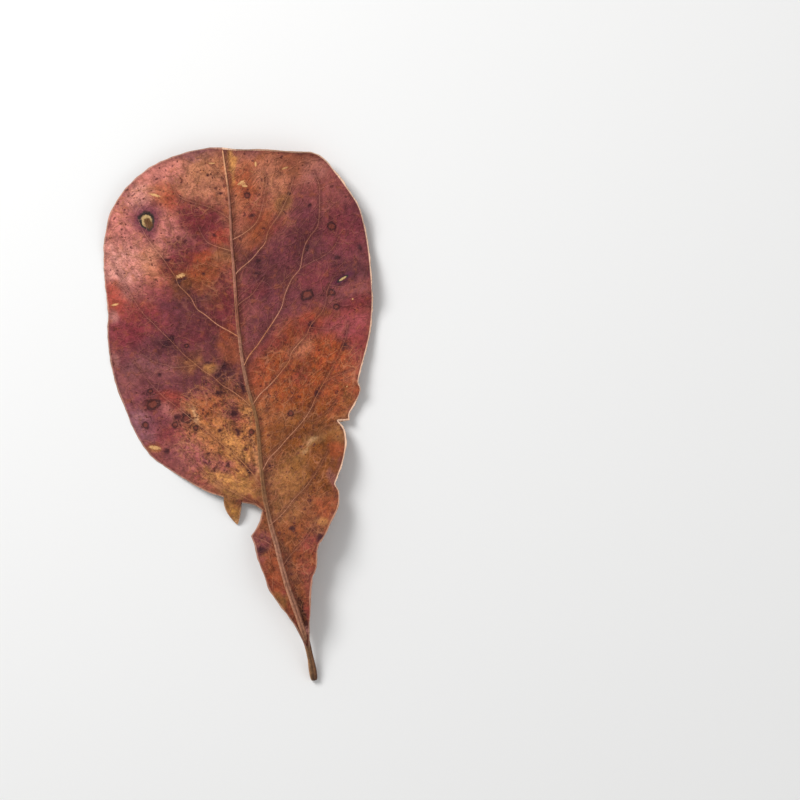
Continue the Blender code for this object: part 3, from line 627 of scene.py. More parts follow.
x_shift = cad_low.x / MM - flat_places[:, 0].min()
y_shift = cad_high.y / MM - flat_places[:, 1].max()
SHIFT = np.array([x_shift, y_shift, cad_low.z / MM])
grid = (rows, columns)
on_right = np.tile((np.arange(columns) >= COLUMNS).astype(float), rows)
upper = np.column_stack([flat_places[:, :2], upper_z]).reshape(*grid, 3)
under = np.column_stack([flat_places[:, :2], under_z]).reshape(*grid, 3)
blade_values = {
    "tint": washed(flat_places),
    "vein_away": vein_distance,
    "vein_size": vein_size,
    "rib_away": rib_distance,
    "rim_away": rim_distance,
    "eaten": eaten,
    "ringed": ringed,
    "stained": stained,
    "heart": heart,
    "fleck": fleck,
    "freckle": density(flat_places, FRECKLES, 0.30),
    "grain": density(flat_places, GRAIN, 0.28),
    "right_half": on_right,
    "rim_pale": 0.38 + on_right * 0.57 * step(-42, -26, flat_places[:, 1]),
}
blade_mesh = closed_sheet("blade", upper + SHIFT, under + SHIFT, blade_values)
blade = show("blade", blade_mesh)


def surface_of(mesh):
    """The mesh as something that a straight line can be shot at."""
    corners = [tuple(v.co) for v in mesh.vertices]
    return BVHTree.FromPolygons(corners, [tuple(f.vertices) for f in mesh.polygons])


# The torn flap: a shred of the blade left hanging from the margin at the tear, narrowing and
# drooping to its own tip.
EYE_HEIGHT = 0.05         # in metres, well above the leaf
FLAP_ROWS = 14
FLAP_COLUMNS = 12
flap_root = margin_points(LEFT_MARGIN, np.linspace(*FLAP_ROOT, FLAP_COLUMNS + 1))
flap_root = flap_root + np.array([0.5, 1.0])
down = np.linspace(0, 1, FLAP_ROWS + 1)[:, None]
narrowing = 1 - 0.90 * down ** 1.6
centre = flap_root.mean(axis=0) * (1 - down) + np.array(FLAP_TIP) * down
flap_xy = centre[:, None] + (flap_root - flap_root.mean(axis=0))[None] * narrowing[..., None]
flap_share = np.linspace(0, 1, FLAP_COLUMNS + 1)
flap_xy[:, :, 0] -= FLAP_BULGE * np.sin(math.pi * down) * flap_share
blade_surface = surface_of(blade_mesh)
flap_z = []
for x, y in flap_root:
    eye = Vector(((x + SHIFT[0]) * MM, (y + SHIFT[1]) * MM, EYE_HEIGHT))
    hit = blade_surface.ray_cast(eye, Vector((0, 0, -1)))[0]
    flap_z.append(hit.z / MM - 0.2 if hit else 3.6)
flap_mid = np.array(flap_z)[None] * (1 - 0.35 * down) - FLAP_DROOP * down * down
flap_mid += 0.5 * np.sin(math.pi * down)
flap_flat = np.column_stack([flap_xy.reshape(-1, 2), flap_mid.ravel()])
flap_relief = 0.25 * wander(flap_flat, 2.5, 21)
half = BLADE_THICKNESS / 2 * (1 - 0.4 * np.repeat(down, FLAP_COLUMNS + 1))
count = len(flap_flat)
flap_values = {key: np.full((count, *value.shape[1:]), 9.0) for key, value in blade_values.items()}
downward = np.repeat(down, FLAP_COLUMNS + 1)[:, None]
outward_share = np.tile(flap_share, FLAP_ROWS + 1)
inward_share = np.tile(np.linspace(1, 0, FLAP_COLUMNS + 1), FLAP_ROWS + 1)
browner = (0.5 + 0.5 * step(0.1, 0.9, inward_share[:, None])) * (1 - step(0.12, 0.55, downward))
flap_tint = np.tile(linear(TINTS["old_gold"]), (count, 1))
flap_tint += (linear(TINTS["olive_brown"]) - flap_tint) * browner
flap_tint += (linear(TINTS["cream"]) - flap_tint) * 0.6 * step(0.6, 1.0, downward)
flap_values["tint"] = flap_tint
flap_values["rim_away"] = 0.3 + 3 * np.minimum(outward_share, inward_share)
flap_values["vein_size"] = np.zeros(count)
flap_values["rib_away"] = np.abs(flap_flat[:, 0] - smooth(RIB_LINE, flap_flat[:, 1])[:, 0])
flap_values["freckle"] = np.full(count, 0.4)
flap_values["grain"] = np.full(count, 0.45)
flap_values["right_half"] = np.zeros(count)
flap_values["rim_pale"] = 0.75 * step(0.12, 0.5, downward[:, 0])
flap_grid = (FLAP_ROWS + 1, FLAP_COLUMNS + 1, 3)
flap_top = np.column_stack([flap_flat[:, :2], flap_flat[:, 2] + flap_relief + half]).reshape(flap_grid)
flap_low = np.column_stack([flap_flat[:, :2], flap_flat[:, 2] + flap_relief - half]).reshape(flap_grid)
flap_mesh = closed_sheet("flap", flap_top + SHIFT, flap_low + SHIFT, flap_values)
flap = show("flap", flap_mesh)
with bpy.context.temp_override(active_object=blade, object=blade, selected_objects=[blade, flap],
                               selected_editable_objects=[blade, flap]):
    bpy.ops.object.join()


def group(name, takes, gives):
    """An empty shader node group with named inputs (name, kind, value) and outputs (name, kind)."""
    tree = bpy.data.node_groups.new(name, "ShaderNodeTree")
    for label, kind, value in takes:
        socket = tree.interface.new_socket(label, in_out="INPUT", socket_type=kind)
        socket.default_value = value
    for label, kind in gives:
        tree.interface.new_socket(label, in_out="OUTPUT", socket_type=kind)
    return tree, tree.nodes.new("NodeGroupInput"), tree.nodes.new("NodeGroupOutput")


def put(socket, value):
    """Set a socket to a value, or link another node's output to it."""
    if isinstance(value, bpy.types.NodeSocket):
        socket.id_data.links.new(value, socket)
    else:
        socket.default_value = value


def attribute(tree, name, output="Fac"):
    """What the mesh carries under this name."""
    node = tree.nodes.new("ShaderNodeAttribute")
    node.attribute_name = name
    return node.outputs[output]


def sum_of(tree, operation, *values):
    """One mathematical node."""
    node = tree.nodes.new("ShaderNodeMath")
    node.operation = operation
    for socket, value in zip(node.inputs, values):
        put(socket, value)
    return node.outputs[0]


def times(tree, one, other):
    """One value multiplied by the other."""
    return sum_of(tree, "MULTIPLY", one, other)


def ramp(tree, value, low, high, start=0.0, end=1.0):
    """Start while the value is below low, end above high, with a smooth change between."""
    node = tree.nodes.new("ShaderNodeMapRange")
    node.interpolation_type = "SMOOTHSTEP"
    for socket, given in zip(node.inputs, (value, low, high, start, end)):
        put(socket, given)
    return node.outputs[0]


def blend(tree, share_of, under_colour, over_colour, kind="MIX"):
    """Lay one colour over another by a share of 0 to 1."""
    node = tree.nodes.new("ShaderNodeMix")
    node.data_type = "RGBA"
    node.blend_type = kind
    put(node.inputs["Factor"], share_of)
    for label, value in (("A", under_colour), ("B", over_colour)):
        socket = next(s for s in node.inputs if s.name == label and s.type == "RGBA")
        put(socket, value)
    return next(s for s in node.outputs if s.type == "RGBA")


def in_mm(tree, stretch=(1000.0, 1000.0, 1000.0)):
    """The place on the piece, in millimetres."""
    place = tree.nodes.new("ShaderNodeTexCoord").outputs["Object"]
    scale = tree.nodes.new("ShaderNodeVectorMath")
    scale.operation = "MULTIPLY"
    put(scale.inputs[0], place)
    put(scale.inputs[1], stretch)
    return scale.outputs[0]


def speckle(tree, place, per_mm, detail=2.0, roughness=0.55, output="Fac"):
    """Cloudy noise with this many features to a millimetre."""
    node = tree.nodes.new("ShaderNodeTexNoise")
    put(node.inputs["Vector"], place)
    put(node.inputs["Scale"], per_mm)
    put(node.inputs["Detail"], detail)
    put(node.inputs["Roughness"], roughness)
    return node.outputs[output]


def cells(tree, place, per_mm, feature="F1"):
    """The distance from the middle, or from the edge, of the cell that this place lies in."""
    node = tree.nodes.new("ShaderNodeTexVoronoi")
    node.feature = feature
    put(node.inputs["Vector"], place)
    put(node.inputs["Scale"], per_mm)
    return node.outputs["Distance"]


def from_spot(tree, name, wobble):
    """How far this place is from the middle of its nearest spot, the spot's edge being at 1."""
    away = tree.nodes.new("ShaderNodeVectorMath")
    away.operation = "LENGTH"
    put(away.inputs[0], attribute(tree, name, "Vector"))
    return sum_of(tree, "ADD", away.outputs["Value"], wobble)


def dots(tree, place, per_mm, amount, radius):
    """Scattered round dots of many sizes; the amount is the share of cells that have one."""
    node = tree.nodes.new("ShaderNodeTexVoronoi")
    put(node.inputs["Vector"], place)
    put(node.inputs["Scale"], per_mm)
    pick = tree.nodes.new("ShaderNodeSeparateColor")
    put(pick.inputs[0], node.outputs["Color"])
    chosen = ramp(tree, sum_of(tree, "SUBTRACT", amount, pick.outputs["Red"]), 0.0, 0.06)
    edge = times(tree, ramp(tree, pick.outputs["Green"], 0.0, 1.0, 0.45, 1.15), radius)
    inside = ramp(tree, sum_of(tree, "SUBTRACT", node.outputs["Distance"], edge), -0.08, 0.03, 1.0, 0.0)
    return times(tree, chosen, inside)


def warped(tree, place, per_mm, reach):
    """The place pushed about by noise, up to the reach in millimetres."""
    noise_colour = speckle(tree, place, per_mm, 1.0, 0.5, "Color")
    centred = tree.nodes.new("ShaderNodeVectorMath")
    centred.operation = "SUBTRACT"
    put(centred.inputs[0], noise_colour)
    put(centred.inputs[1], (0.5, 0.5, 0.5))
    moved = tree.nodes.new("ShaderNodeVectorMath")
    moved.operation = "MULTIPLY_ADD"
    put(moved.inputs[0], centred.outputs[0])
    put(moved.inputs[1], (reach * 2, reach * 2, reach * 2))
    put(moved.inputs[2], place)
    return moved.outputs[0]


# Dry tissue, shared by all pieces: a cloudy, grainy darkening and lightening of any colour.
tissue, tissue_in, tissue_out = group(
    "dry_tissue",
    [("Color", "NodeSocketColor", (0.3, 0.15, 0.1, 1)), ("Place", "NodeSocketVector", (0, 0, 0)),
     ("Grain per mm", "NodeSocketFloat", 1.3), ("Contrast", "NodeSocketFloat", 0.4)],
    [("Color", "NodeSocketColor"), ("Height", "NodeSocketFloat")])
grain = speckle(tissue, tissue_in.outputs["Place"], tissue_in.outputs["Grain per mm"], 4.0, 0.62)
cloud_scale = times(tissue, tissue_in.outputs["Grain per mm"], 0.34)
cloud = speckle(tissue, tissue_in.outputs["Place"], cloud_scale, 3.0, 0.55)
both = sum_of(tissue, "MULTIPLY_ADD", grain, 0.46, times(tissue, cloud, 0.54))
swing = ramp(tissue, both, 0.34, 0.66, -1.0, 1.0)
lift = sum_of(tissue, "MULTIPLY_ADD", swing, tissue_in.outputs["Contrast"], 1.0)
shade = tissue.nodes.new("ShaderNodeVectorMath")
shade.operation = "SCALE"
put(shade.inputs[0], tissue_in.outputs["Color"])
put(shade.inputs["Scale"], lift)
put(tissue_out.inputs["Color"], shade.outputs[0])
put(tissue_out.inputs["Height"], both)


def use_group(tree, inner, **given):
    """Use a shared group; an underscore in an input's name stands for a space."""
    node = tree.nodes.new("ShaderNodeGroup")
    node.node_tree = inner
    for label, value in given.items():
        put(node.inputs[label.replace("_", " ")], value)
    return node


def rgb(colour):
    """An sRGB colour of 0 to 255 as a shader socket takes it."""
    return (*linear(colour).tolist(), 1.0)


def stain(tree, share_of, under, over):
    """Lay an sRGB colour of 0 to 255 over what is there by a share of 0 to 1."""
    return blend(tree, share_of, under, rgb(over))


def bumped(tree, shader, strength, reach, height):
    """Raise and sink the shader's surface with the height, the reach being in metres."""
    bump = tree.nodes.new("ShaderNodeBump")
    put(bump.inputs["Strength"], strength)
    put(bump.inputs["Distance"], reach)
    put(bump.inputs["Height"], height)
    put(shader.inputs["Normal"], bump.outputs[0])


blade_material = bpy.data.materials.new("dry_blade")
blade_material.use_nodes = True
tree = blade_material.node_tree
skin = tree.nodes["Principled BSDF"]
place = in_mm(tree)
crooked = warped(tree, place, 0.45, 1.3)
wavy = warped(tree, place, 1.6, 0.30)
# a second set of places that runs out and up with the side veins, alike in both halves, so that
# the net of small veins is drawn out along them
split = tree.nodes.new("ShaderNodeSeparateXYZ")
put(split.inputs[0], place)
rib_away = attribute(tree, "rib_away")
outward = sum_of(tree, "MULTIPLY_ADD", rib_away, 0.62, times(tree, split.outputs["Y"], 0.78))
crosswise = sum_of(tree, "MULTIPLY_ADD", rib_away, -0.78, times(tree, split.outputs["Y"], 0.62))
woven_place = tree.nodes.new("ShaderNodeCombineXYZ")
put(woven_place.inputs["X"], times(tree, outward, 0.50))
put(woven_place.inputs["Y"], crosswise)
woven = warped(tree, woven_place.outputs[0], 0.40, 0.5)
woven_fine = warped(tree, woven_place.outputs[0], 1.3, 0.22)
grained = use_group(tree, tissue, Color=attribute(tree, "tint", "Color"), Place=place, Grain_per_mm=1.1,
                    Contrast=attribute(tree, "grain"))
colour = grained.outputs["Color"]
# a warm or a cool cast in patches of a few millimetres
cast = speckle(tree, place, 0.34, 3.0, 0.6)
colour = stain(tree, ramp(tree, cast, 0.52, 0.74, 0.0, 0.30), colour, (196, 118, 66))
colour = stain(tree, ramp(tree, cast, 0.28, 0.47, 0.30, 0.0), colour, (104, 46, 54))
# single cells dried paler or darker than their neighbours
right_half = attribute(tree, "right_half")
crumb = speckle(tree, woven_fine, 1.9, 2.0, 0.7)
grainy = attribute(tree, "grain")
crumb_share = ramp(tree, grainy, 0.28, 0.62, 0.12, 1.25)
over = times(tree, ramp(tree, crumb, 0.55, 0.70, 0.0, 0.52), crumb_share)
colour = stain(tree, over, colour, (212, 152, 106))
over = times(tree, ramp(tree, crumb, 0.28, 0.44, 0.13, 0.0), crumb_share)
colour = stain(tree, over, colour, (96, 44, 36))
# pink and golden cells in patches of about a millimetre
hue = speckle(tree, woven_fine, 0.75, 2.0, 0.6)
over = times(tree, ramp(tree, hue, 0.54, 0.72, 0.0, 0.30), crumb_share)
colour = stain(tree, over, colour, (190, 128, 66))
over = times(tree, ramp(tree, hue, 0.30, 0.47, 0.36, 0.0), crumb_share)
colour = stain(tree, over, colour, (148, 66, 66))
# freckles of dark pigment in two sizes
freckle = attribute(tree, "freckle")
bold_dot = dots(tree, crooked, 0.44, times(tree, freckle, 0.55), 0.30)
colour = stain(tree, times(tree, bold_dot, 0.66), colour, (86, 34, 42))
fine_dot = dots(tree, wavy, 0.88, times(tree, freckle, 0.46), 0.30)
colour = stain(tree, times(tree, fine_dot, 0.74), colour, (88, 34, 32))
# the net of small veins in two sizes
wide_net = ramp(tree, cells(tree, woven, 0.34, "DISTANCE_TO_EDGE"), 0.015, 0.060, 1.0, 0.0)
small_net = ramp(tree, cells(tree, woven_fine, 1.05, "DISTANCE_TO_EDGE"), 0.02, 0.12, 1.0, 0.0)
net_here = ramp(tree, speckle(tree, place, 0.16, 2.0), 0.38, 0.62, 0.25, 1.0)
net_here = times(tree, net_here, ramp(tree, grainy, 0.28, 0.45, 0.35, 1.0))
colour = stain(tree, times(tree, wide_net, times(tree, net_here, 0.42)), colour, (208, 146, 112))
colour = stain(tree, times(tree, small_net, times(tree, net_here, 0.30)), colour, (204, 138, 102))
# beside the side veins the blade is first paler, then darker: the darker band is painted shade beside the
# vein ridges
vein_away = attribute(tree, "vein_away")
vein_near = sum_of(tree, "DIVIDE", vein_away, sum_of(tree, "ADD", attribute(tree, "vein_size"), 0.20))
colour = stain(tree, ramp(tree, vein_near, 1.2, 4.0, 0.36, 0.0), colour, (92, 46, 44))
colour = stain(tree, ramp(tree, vein_near, 0.2, 1.2, 0.30, 0.0), colour, (184, 120, 92))
# painted shadow cast by the midrib on the right half of the blade, just right of the midrib
over = times(tree, ramp(tree, rib_away, 1.2, 2.8, 0.46, 0.0), right_half)
colour = stain(tree, over, colour, (84, 40, 26))
# stains, ring spots and eaten wounds
wobble = ramp(tree, speckle(tree, place, 0.62, 3.0, 0.6), 0.25, 0.75, -0.42, 0.42)
slight_wobble = times(tree, wobble, 0.60)
stained_at = from_spot(tree, "stained", wobble)
colour = stain(tree, ramp(tree, stained_at, 0.45, 1.45, 0.60, 0.0), colour, (84, 38, 46))
colour = stain(tree, ramp(tree, stained_at, 0.20, 0.85, 0.60, 0.0), colour, (66, 32, 40))
ringed_at = from_spot(tree, "ringed", slight_wobble)
colour = stain(tree, ramp(tree, ringed_at, 0.9, 1.9, 0.45, 0.0), colour, (96, 46, 52))
colour = stain(tree, ramp(tree, ringed_at, 0.92, 1.22, 0.72, 0.0), colour, (66, 36, 38))
colour = stain(tree, ramp(tree, ringed_at, 0.40, 0.78, 0.72, 0.0), colour, (150, 84, 70))
eaten_at = from_spot(tree, "eaten", times(tree, wobble, 0.25))
colour = stain(tree, ramp(tree, eaten_at, 1.1, 2.7, 0.62, 0.0), colour, (108, 46, 76))
colour = stain(tree, ramp(tree, eaten_at, 0.92, 1.22, 0.92, 0.0), colour, (62, 58, 52))
colour = stain(tree, ramp(tree, eaten_at, 0.60, 0.80, 1.0, 0.0), colour, (210, 180, 132))
over = ramp(tree, from_spot(tree, "heart", slight_wobble), 0.6, 1.15, 0.95, 0.0)
colour = stain(tree, over, colour, (112, 74, 42))
fleck_at = from_spot(tree, "fleck", ramp(tree, crumb, 0.3, 0.7, -0.25, 0.25))
colour = stain(tree, ramp(tree, fleck_at, 1.1, 2.0, 0.30, 0.0), colour, (150, 84, 44))
colour = stain(tree, ramp(tree, fleck_at, 0.55, 1.1, 0.92, 0.0), colour, (230, 184, 132))
# the rim: a thin pale line, strongest on the right half
rim_away = attribute(tree, "rim_away")
colour = stain(tree, ramp(tree, rim_away, 0.5, 2.0, 0.22, 0.0), colour, TINTS["deep_mauve"])
rim_line = ramp(tree, rim_away, 0.28, 0.62, 1.0, 0.0)
colour = stain(tree, times(tree, rim_line, attribute(tree, "rim_pale")), colour, (242, 206, 180))
# the underside is duller and paler
dull = use_group(tree, tissue, Color=rgb((158, 112, 86)), Place=place, Grain_per_mm=0.9, Contrast=0.22)
colour = blend(tree, times(tree, attribute(tree, "underside"), 0.72), colour, dull.outputs["Color"])
# dry pigment is deep: the darker a colour, the more it is deepened
deep = tree.nodes.new("ShaderNodeGamma")
put(deep.inputs["Color"], colour)
put(deep.inputs["Gamma"], 1.20)
colour = deep.outputs[0]
put(skin.inputs["Base Color"], colour)
put(skin.inputs["Roughness"], ramp(tree, grained.outputs["Height"], 0.3, 0.7, 0.70, 0.54))
put(skin.inputs["Specular IOR Level"], 0.22)
height = sum_of(tree, "MULTIPLY_ADD", wide_net, 0.55, times(tree, small_net, 0.28))
height = sum_of(tree, "MULTIPLY_ADD", grained.outputs["Height"], 1.5, height)
bumped(tree, skin, 0.75, 0.0004, height)
blade.data.materials.clear()
blade.data.materials.append(blade_material)
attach(blade, "root")
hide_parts("leaf")

# ---------------------------------------------------------------------------------------------
# The side veins: pale woody strands that grew in the blade and stand a little proud of both of
# its faces. Each follows its route over the surface and thins out towards the margin.
# ---------------------------------------------------------------------------------------------
surface = surface_of(blade.data)
VEIN_SIDES = 7
VEIN_SHARE = 0.43          # of the set half thickness, as the strand's own radius
HAIR_SPACING = 2.2         # between the hair veins that leave one strand, in millimetres
HAIR_STEP = 0.8
HAIR_RADIUS = 0.060
VEIN_BARE = 0.20           # a strand thinner than this lies partly under the skin
chance = np.random.default_rng(7)
strands = []
for root, end, points in SIDE_VEINS:
    route, along = vein_route(points)
    strands.append((route, along, (root + (end - root) * along) * VEIN_SHARE * MM))
rib_places = np.linspace(-70, 95, 240)
rib_route = np.column_stack([smooth(RIB_LINE, rib_places)[:, 0], rib_places])
stems = [route for route, along, radii in strands] + [rib_route]
for stem in stems:
    gone = np.concatenate([[0], np.cumsum(np.linalg.norm(np.diff(stem, axis=0), axis=1))])
    at = HAIR_SPACING * chance.random()
    side = 1
    while at < gone[-1] - 0.5:
        here = np.array([np.interp(at, gone, stem[:, 0]), np.interp(at, gone, stem[:, 1])])
        ahead = np.array([np.interp(at + 0.5, gone, stem[:, 0]), np.interp(at + 0.5, gone, stem[:, 1])])
        heading = math.atan2(*(ahead - here)[::-1]) + side * math.radians(chance.uniform(48, 82))
        bend = -side * math.radians(chance.uniform(-2, 9))
        hair = [here]
        for i in range(chance.integers(4, 12)):
            heading += bend + math.radians(chance.normal(0, 9))
            hair.append(hair[-1] + HAIR_STEP * np.array([math.cos(heading), math.sin(heading)]))
        along = np.linspace(0, 1, len(hair))
        radii = HAIR_RADIUS * MM * chance.uniform(0.6, 1.1) * (1 - 0.6 * along)
        strands.append((np.array(hair), along, radii))
        at += HAIR_SPACING * chance.uniform(0.5, 1.5)
        side = -side
vein_points, vein_edges, vein_radii, vein_bare = [], [], [], []
for face, sink in ((1, 0.20), (-1, 0.10)):
    for route, along, radii in strands:
        start = len(vein_points)
        for (x, y), part, radius in zip(route, along, radii):
            eye = Vector(((x + SHIFT[0]) * MM, (y + SHIFT[1]) * MM, EYE_HEIGHT * face))
            hit = surface.ray_cast(eye, Vector((0, 0, -face)))[0]
            if hit is None:
                break
            if len(vein_points) > start:
                vein_edges.append((len(vein_points) - 1, len(vein_points)))
            vein_points.append(hit - Vector((0, 0, face * (sink + 0.6 * part * part) * radius)))
            vein_radii.append(radius)
            vein_bare.append(min(1.0, radius / (VEIN_BARE * MM)))
# No strand passes below the table.
vein_points = [Vector((p.x, p.y, max(p.z, r))) for p, r in zip(vein_points, vein_radii)]
routes_mesh = bpy.data.meshes.new("vein_routes")
routes_mesh.from_pydata(vein_points, vein_edges, [])
carry(routes_mesh, "radius_here", vein_radii)
carry(routes_mesh, "bare", vein_bare)
carry(routes_mesh, "tint", washed(np.array(vein_points) / MM - SHIFT))
veins = show("side_veins", routes_mesh)

vein_material = bpy.data.materials.new("dry_vein")
vein_material.use_nodes = True
tree = vein_material.node_tree
strand = tree.nodes["Principled BSDF"]
place = in_mm(tree)
paler = ramp(tree, speckle(tree, place, 0.09, 2.0), 0.35, 0.65)
toned = blend(tree, paler, rgb((196, 126, 80)), rgb((212, 150, 118)))
toned = stain(tree, ramp(tree, speckle(tree, place, 0.35, 2.0), 0.50, 0.72, 0.0, 0.6), toned, (136, 78, 62))
bare_share = ramp(tree, attribute(tree, "bare"), 0.25, 1.0, 0.32, 0.97)
toned = blend(tree, bare_share, attribute(tree, "tint", "Color"), toned)
strand_tissue = use_group(tree, tissue, Color=toned, Place=place, Grain_per_mm=2.6, Contrast=0.30)
put(strand.inputs["Base Color"], strand_tissue.outputs["Color"])
put(strand.inputs["Roughness"], 0.6)
put(strand.inputs["Specular IOR Level"], 0.3)
bumped(tree, strand, 0.4, 0.0001, strand_tissue.outputs["Height"])

grow = bpy.data.node_groups.new("grow_veins", "GeometryNodeTree")
grow.interface.new_socket("Geometry", in_out="INPUT", socket_type="NodeSocketGeometry")
sides_in = grow.interface.new_socket("Sides", in_out="INPUT", socket_type="NodeSocketInt")
material_in = grow.interface.new_socket("Material", in_out="INPUT", socket_type="NodeSocketMaterial")
grow.interface.new_socket("Geometry", in_out="OUTPUT", socket_type="NodeSocketGeometry")
grow_in = grow.nodes.new("NodeGroupInput")
grow_out = grow.nodes.new("NodeGroupOutput")
lines = grow.nodes.new("GeometryNodeMeshToCurve")
ring = grow.nodes.new("GeometryNodeCurvePrimitiveCircle")
put(ring.inputs["Radius"], 1.0)
sweep = grow.nodes.new("GeometryNodeCurveToMesh")
put(sweep.inputs["Fill Caps"], True)
radius_here = grow.nodes.new("GeometryNodeInputNamedAttribute")
put(radius_here.inputs["Name"], "radius_here")
realize = grow.nodes.new("GeometryNodeRealizeInstances")
paint = grow.nodes.new("GeometryNodeSetMaterial")
put(ring.inputs["Resolution"], grow_in.outputs["Sides"])
put(lines.inputs["Mesh"], grow_in.outputs["Geometry"])
put(sweep.inputs["Curve"], lines.outputs["Curve"])
put(sweep.inputs["Profile Curve"], ring.outputs["Curve"])
put(sweep.inputs["Scale"], radius_here.outputs["Attribute"])
put(realize.inputs["Geometry"], sweep.outputs["Mesh"])
put(paint.inputs["Geometry"], realize.outputs["Geometry"])
put(paint.inputs["Material"], grow_in.outputs["Material"])
put(grow_out.inputs["Geometry"], paint.outputs["Geometry"])
growth = veins.modifiers.new("grow", "NODES")
growth.node_group = grow
growth[sides_in.identifier] = VEIN_SIDES
growth[material_in.identifier] = vein_material
grown = bpy.data.meshes.new_from_object(veins.evaluated_get(bpy.context.evaluated_depsgraph_get()))
veins.modifiers.clear()
veins.data = grown
veins.data.shade_smooth()
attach(veins, "root")
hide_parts("leaf")

# ---------------------------------------------------------------------------------------------
# The midrib and the stalk: one tapering woody strand, fibrous and ribbed lengthwise, grooved on
# its upper side near the stalk, with the swollen foot where it broke from the twig.
# ---------------------------------------------------------------------------------------------
RIB_RADIUS = [
    (-100, 1.30), (-96.5, 1.50), (-91, 1.22), (-80, 1.38), (-50, 1.22), (-20, 1.05), (20, 0.85), (60, 0.62),
    (100, 0.34),
]
RIB_SINK = 0.35           # of its radius, the depth of its centre under the blade's middle
RIB_TIP = 99.0
RIB_STEP = 0.55
FOOT_ROUNDING = 0.7       # the stalk broke off bluntly; the tip runs out in a point
TIP_ROUNDING = 1.2
RIB_SIDES = 48
rib_y = np.linspace(-100.0, RIB_TIP, round((RIB_TIP + 100) / RIB_STEP) + 1)
radius = smooth(RIB_RADIUS, rib_y)[:, 0]
close_to_end = np.minimum((rib_y + 100.0) / FOOT_ROUNDING, (RIB_TIP - rib_y) / TIP_ROUNDING)
end_round = np.sqrt(np.clip(1 - (1 - np.minimum(close_to_end, 1)) ** 2, 0.16, 1))
end_round[0] = 0.80
rib_x_fine = smooth(RIB_LINE, rib_y)[:, 0] + 0.10 * wander(np.stack([rib_y, rib_y * 0], 1), 7.0, 31)
rib_z_fine = smooth(RIB_HEIGHT, rib_y)[:, 0] - RIB_SINK * radius * (1 - 2.1 * step(10, 75, rib_y))
turn = np.linspace(0, 2 * math.pi, RIB_SIDES, endpoint=False)
swell = 1 + 0.05 * wander(np.stack([rib_y, rib_y * 0], 1), 4.5, 32)[:, None]
groove_here = 1 - 0.62 * step(-45, -5, rib_y)[:, None]
groove_wander = 0.16 * wander(np.stack([rib_y, rib_y * 0], 1), 14.0, 33)[:, None]
groove = np.exp(-((turn - math.pi / 2 + groove_wander) / 0.30) ** 2) * groove_here
shape = 1 + 0.10 * groove_here * np.cos(4 * (turn - math.pi / 2) + 3.4) - 0.26 * groove
fibres = np.array([
    [noise.noise(Vector((math.cos(a) * 3.6, math.sin(a) * 3.6, y * 0.075))) for a in turn]
    for y in rib_y])
shape = (shape + 0.085 * fibres) * swell
reach = radius[:, None] * end_round[:, None] * shape
rod = np.stack([rib_x_fine[:, None] + reach * np.cos(turn), np.repeat(rib_y[:, None], RIB_SIDES, 1),
                rib_z_fine[:, None] + reach * np.sin(turn)], 2)
rod[:, :, 2] = np.maximum(rod[:, :, 2], 0.02)
rings, sides = rod.shape[:2]
ids = np.arange(rings * sides).reshape(rings, sides)
next_ids = np.roll(ids, -1, axis=1)
corners = [ids[:-1], ids[1:], next_ids[1:], next_ids[:-1]]
rod_faces = np.stack([c.ravel() for c in corners], 1).tolist()
foot, tip = rings * sides, rings * sides + 1
rod_faces += [(foot, a, b) for a, b in zip(ids[0], next_ids[0])]
rod_faces += [(tip, b, a) for a, b in zip(ids[-1], next_ids[-1])]
ends = np.array([rod[0].mean(axis=0) + [0, -0.25, 0], rod[-1].mean(axis=0) + [0, 0.2, 0]])
rod_points = (np.concatenate([rod.reshape(-1, 3), ends]) + SHIFT) * MM
rib_mesh = bpy.data.meshes.new("midrib")
rib_mesh.from_pydata(rod_points.tolist(), [], [tuple(int(i) for i in f) for f in rod_faces])
carry(rib_mesh, "groove", np.concatenate([(groove * np.ones_like(reach)).ravel(), [0, 0]]))
carry(rib_mesh, "rightward", np.concatenate([np.tile(np.cos(turn), rings), [0, 0]]))
carry(rib_mesh, "from_foot", np.concatenate([np.repeat(rib_y + 100, sides), [0, 199]]))
rib_mesh.shade_smooth()
midrib = show("midrib_and_stalk", rib_mesh)

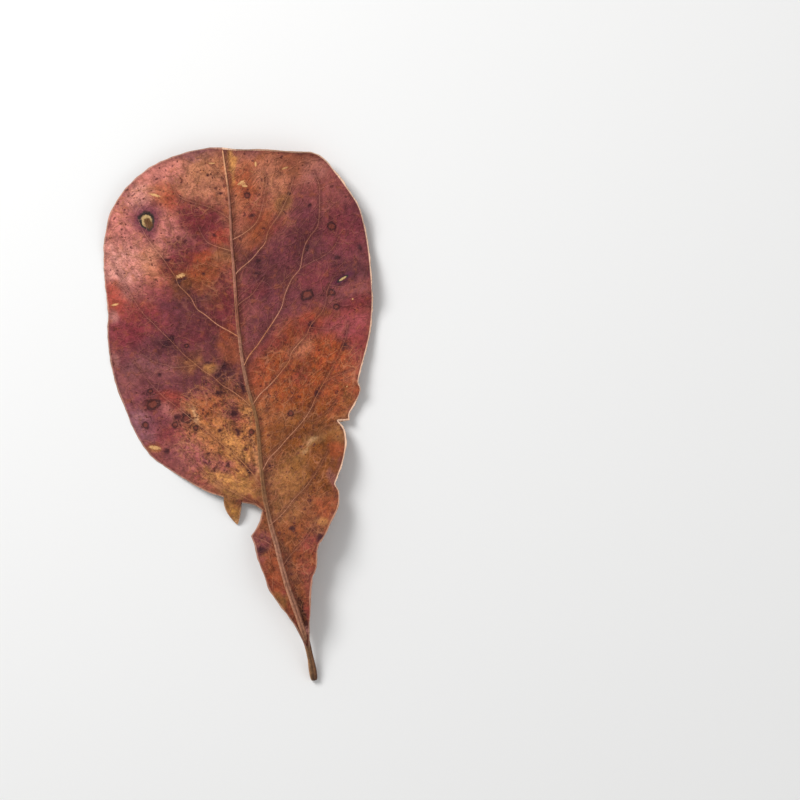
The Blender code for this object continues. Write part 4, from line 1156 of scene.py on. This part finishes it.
rib_material = bpy.data.materials.new("dry_midrib")
rib_material.use_nodes = True
tree = rib_material.node_tree
bark = tree.nodes["Principled BSDF"]
from_foot = attribute(tree, "from_foot")
streaks = in_mm(tree, (1000.0, 90.0, 1000.0))
place = in_mm(tree)
toned = blend(tree, ramp(tree, from_foot, 10, 24), rgb((134, 98, 66)), rgb((174, 120, 96)))
toned = stain(tree, ramp(tree, from_foot, 50, 75), toned, (134, 90, 54))
toned = stain(tree, ramp(tree, from_foot, 102, 116), toned, (160, 108, 86))
toned = stain(tree, ramp(tree, from_foot, 128, 134), toned, (146, 84, 64))
toned = stain(tree, ramp(tree, from_foot, 140, 150), toned, (168, 106, 88))
toned = stain(tree, ramp(tree, from_foot, 180, 192), toned, (234, 166, 124))
toned = stain(tree, ramp(tree, from_foot, 0.5, 4.0, 0.75, 0.0), toned, (84, 60, 42))
streak = speckle(tree, streaks, 2.4, 4.0, 0.65)
toned = stain(tree, ramp(tree, streak, 0.52, 0.74, 0.0, 0.70), toned, (88, 52, 32))
toned = stain(tree, ramp(tree, streak, 0.28, 0.46, 0.45, 0.0), toned, (186, 134, 94))
# painted shade darkening the groove along the midrib's upper side
toned = stain(tree, times(tree, attribute(tree, "groove"), 0.55), toned, (82, 50, 38))
rightward = attribute(tree, "rightward")
# painted light on the midrib: a paler left flank as if lit, a darker right flank in painted shade
toned = stain(tree, ramp(tree, rightward, -0.85, -0.45, 0.65, 0.0), toned, (190, 142, 104))
toned = stain(tree, ramp(tree, rightward, 0.15, 0.85, 0.0, 0.80), toned, (84, 44, 26))
pits = ramp(tree, cells(tree, warped(tree, place, 1.0, 0.4), 0.9), 0.10, 0.26, 0.55, 0.0)
toned = stain(tree, pits, toned, (74, 42, 28))
rib_tissue = use_group(tree, tissue, Color=toned, Place=place, Grain_per_mm=2.2, Contrast=0.28)
put(bark.inputs["Base Color"], rib_tissue.outputs["Color"])
put(bark.inputs["Roughness"], 0.66)
put(bark.inputs["Specular IOR Level"], 0.3)
height = sum_of(tree, "MULTIPLY_ADD", streak, 1.4, rib_tissue.outputs["Height"])
bumped(tree, bark, 0.6, 0.0002, height)
rib_mesh.materials.append(rib_material)
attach(midrib, "root")
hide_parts("leaf")

low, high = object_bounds()
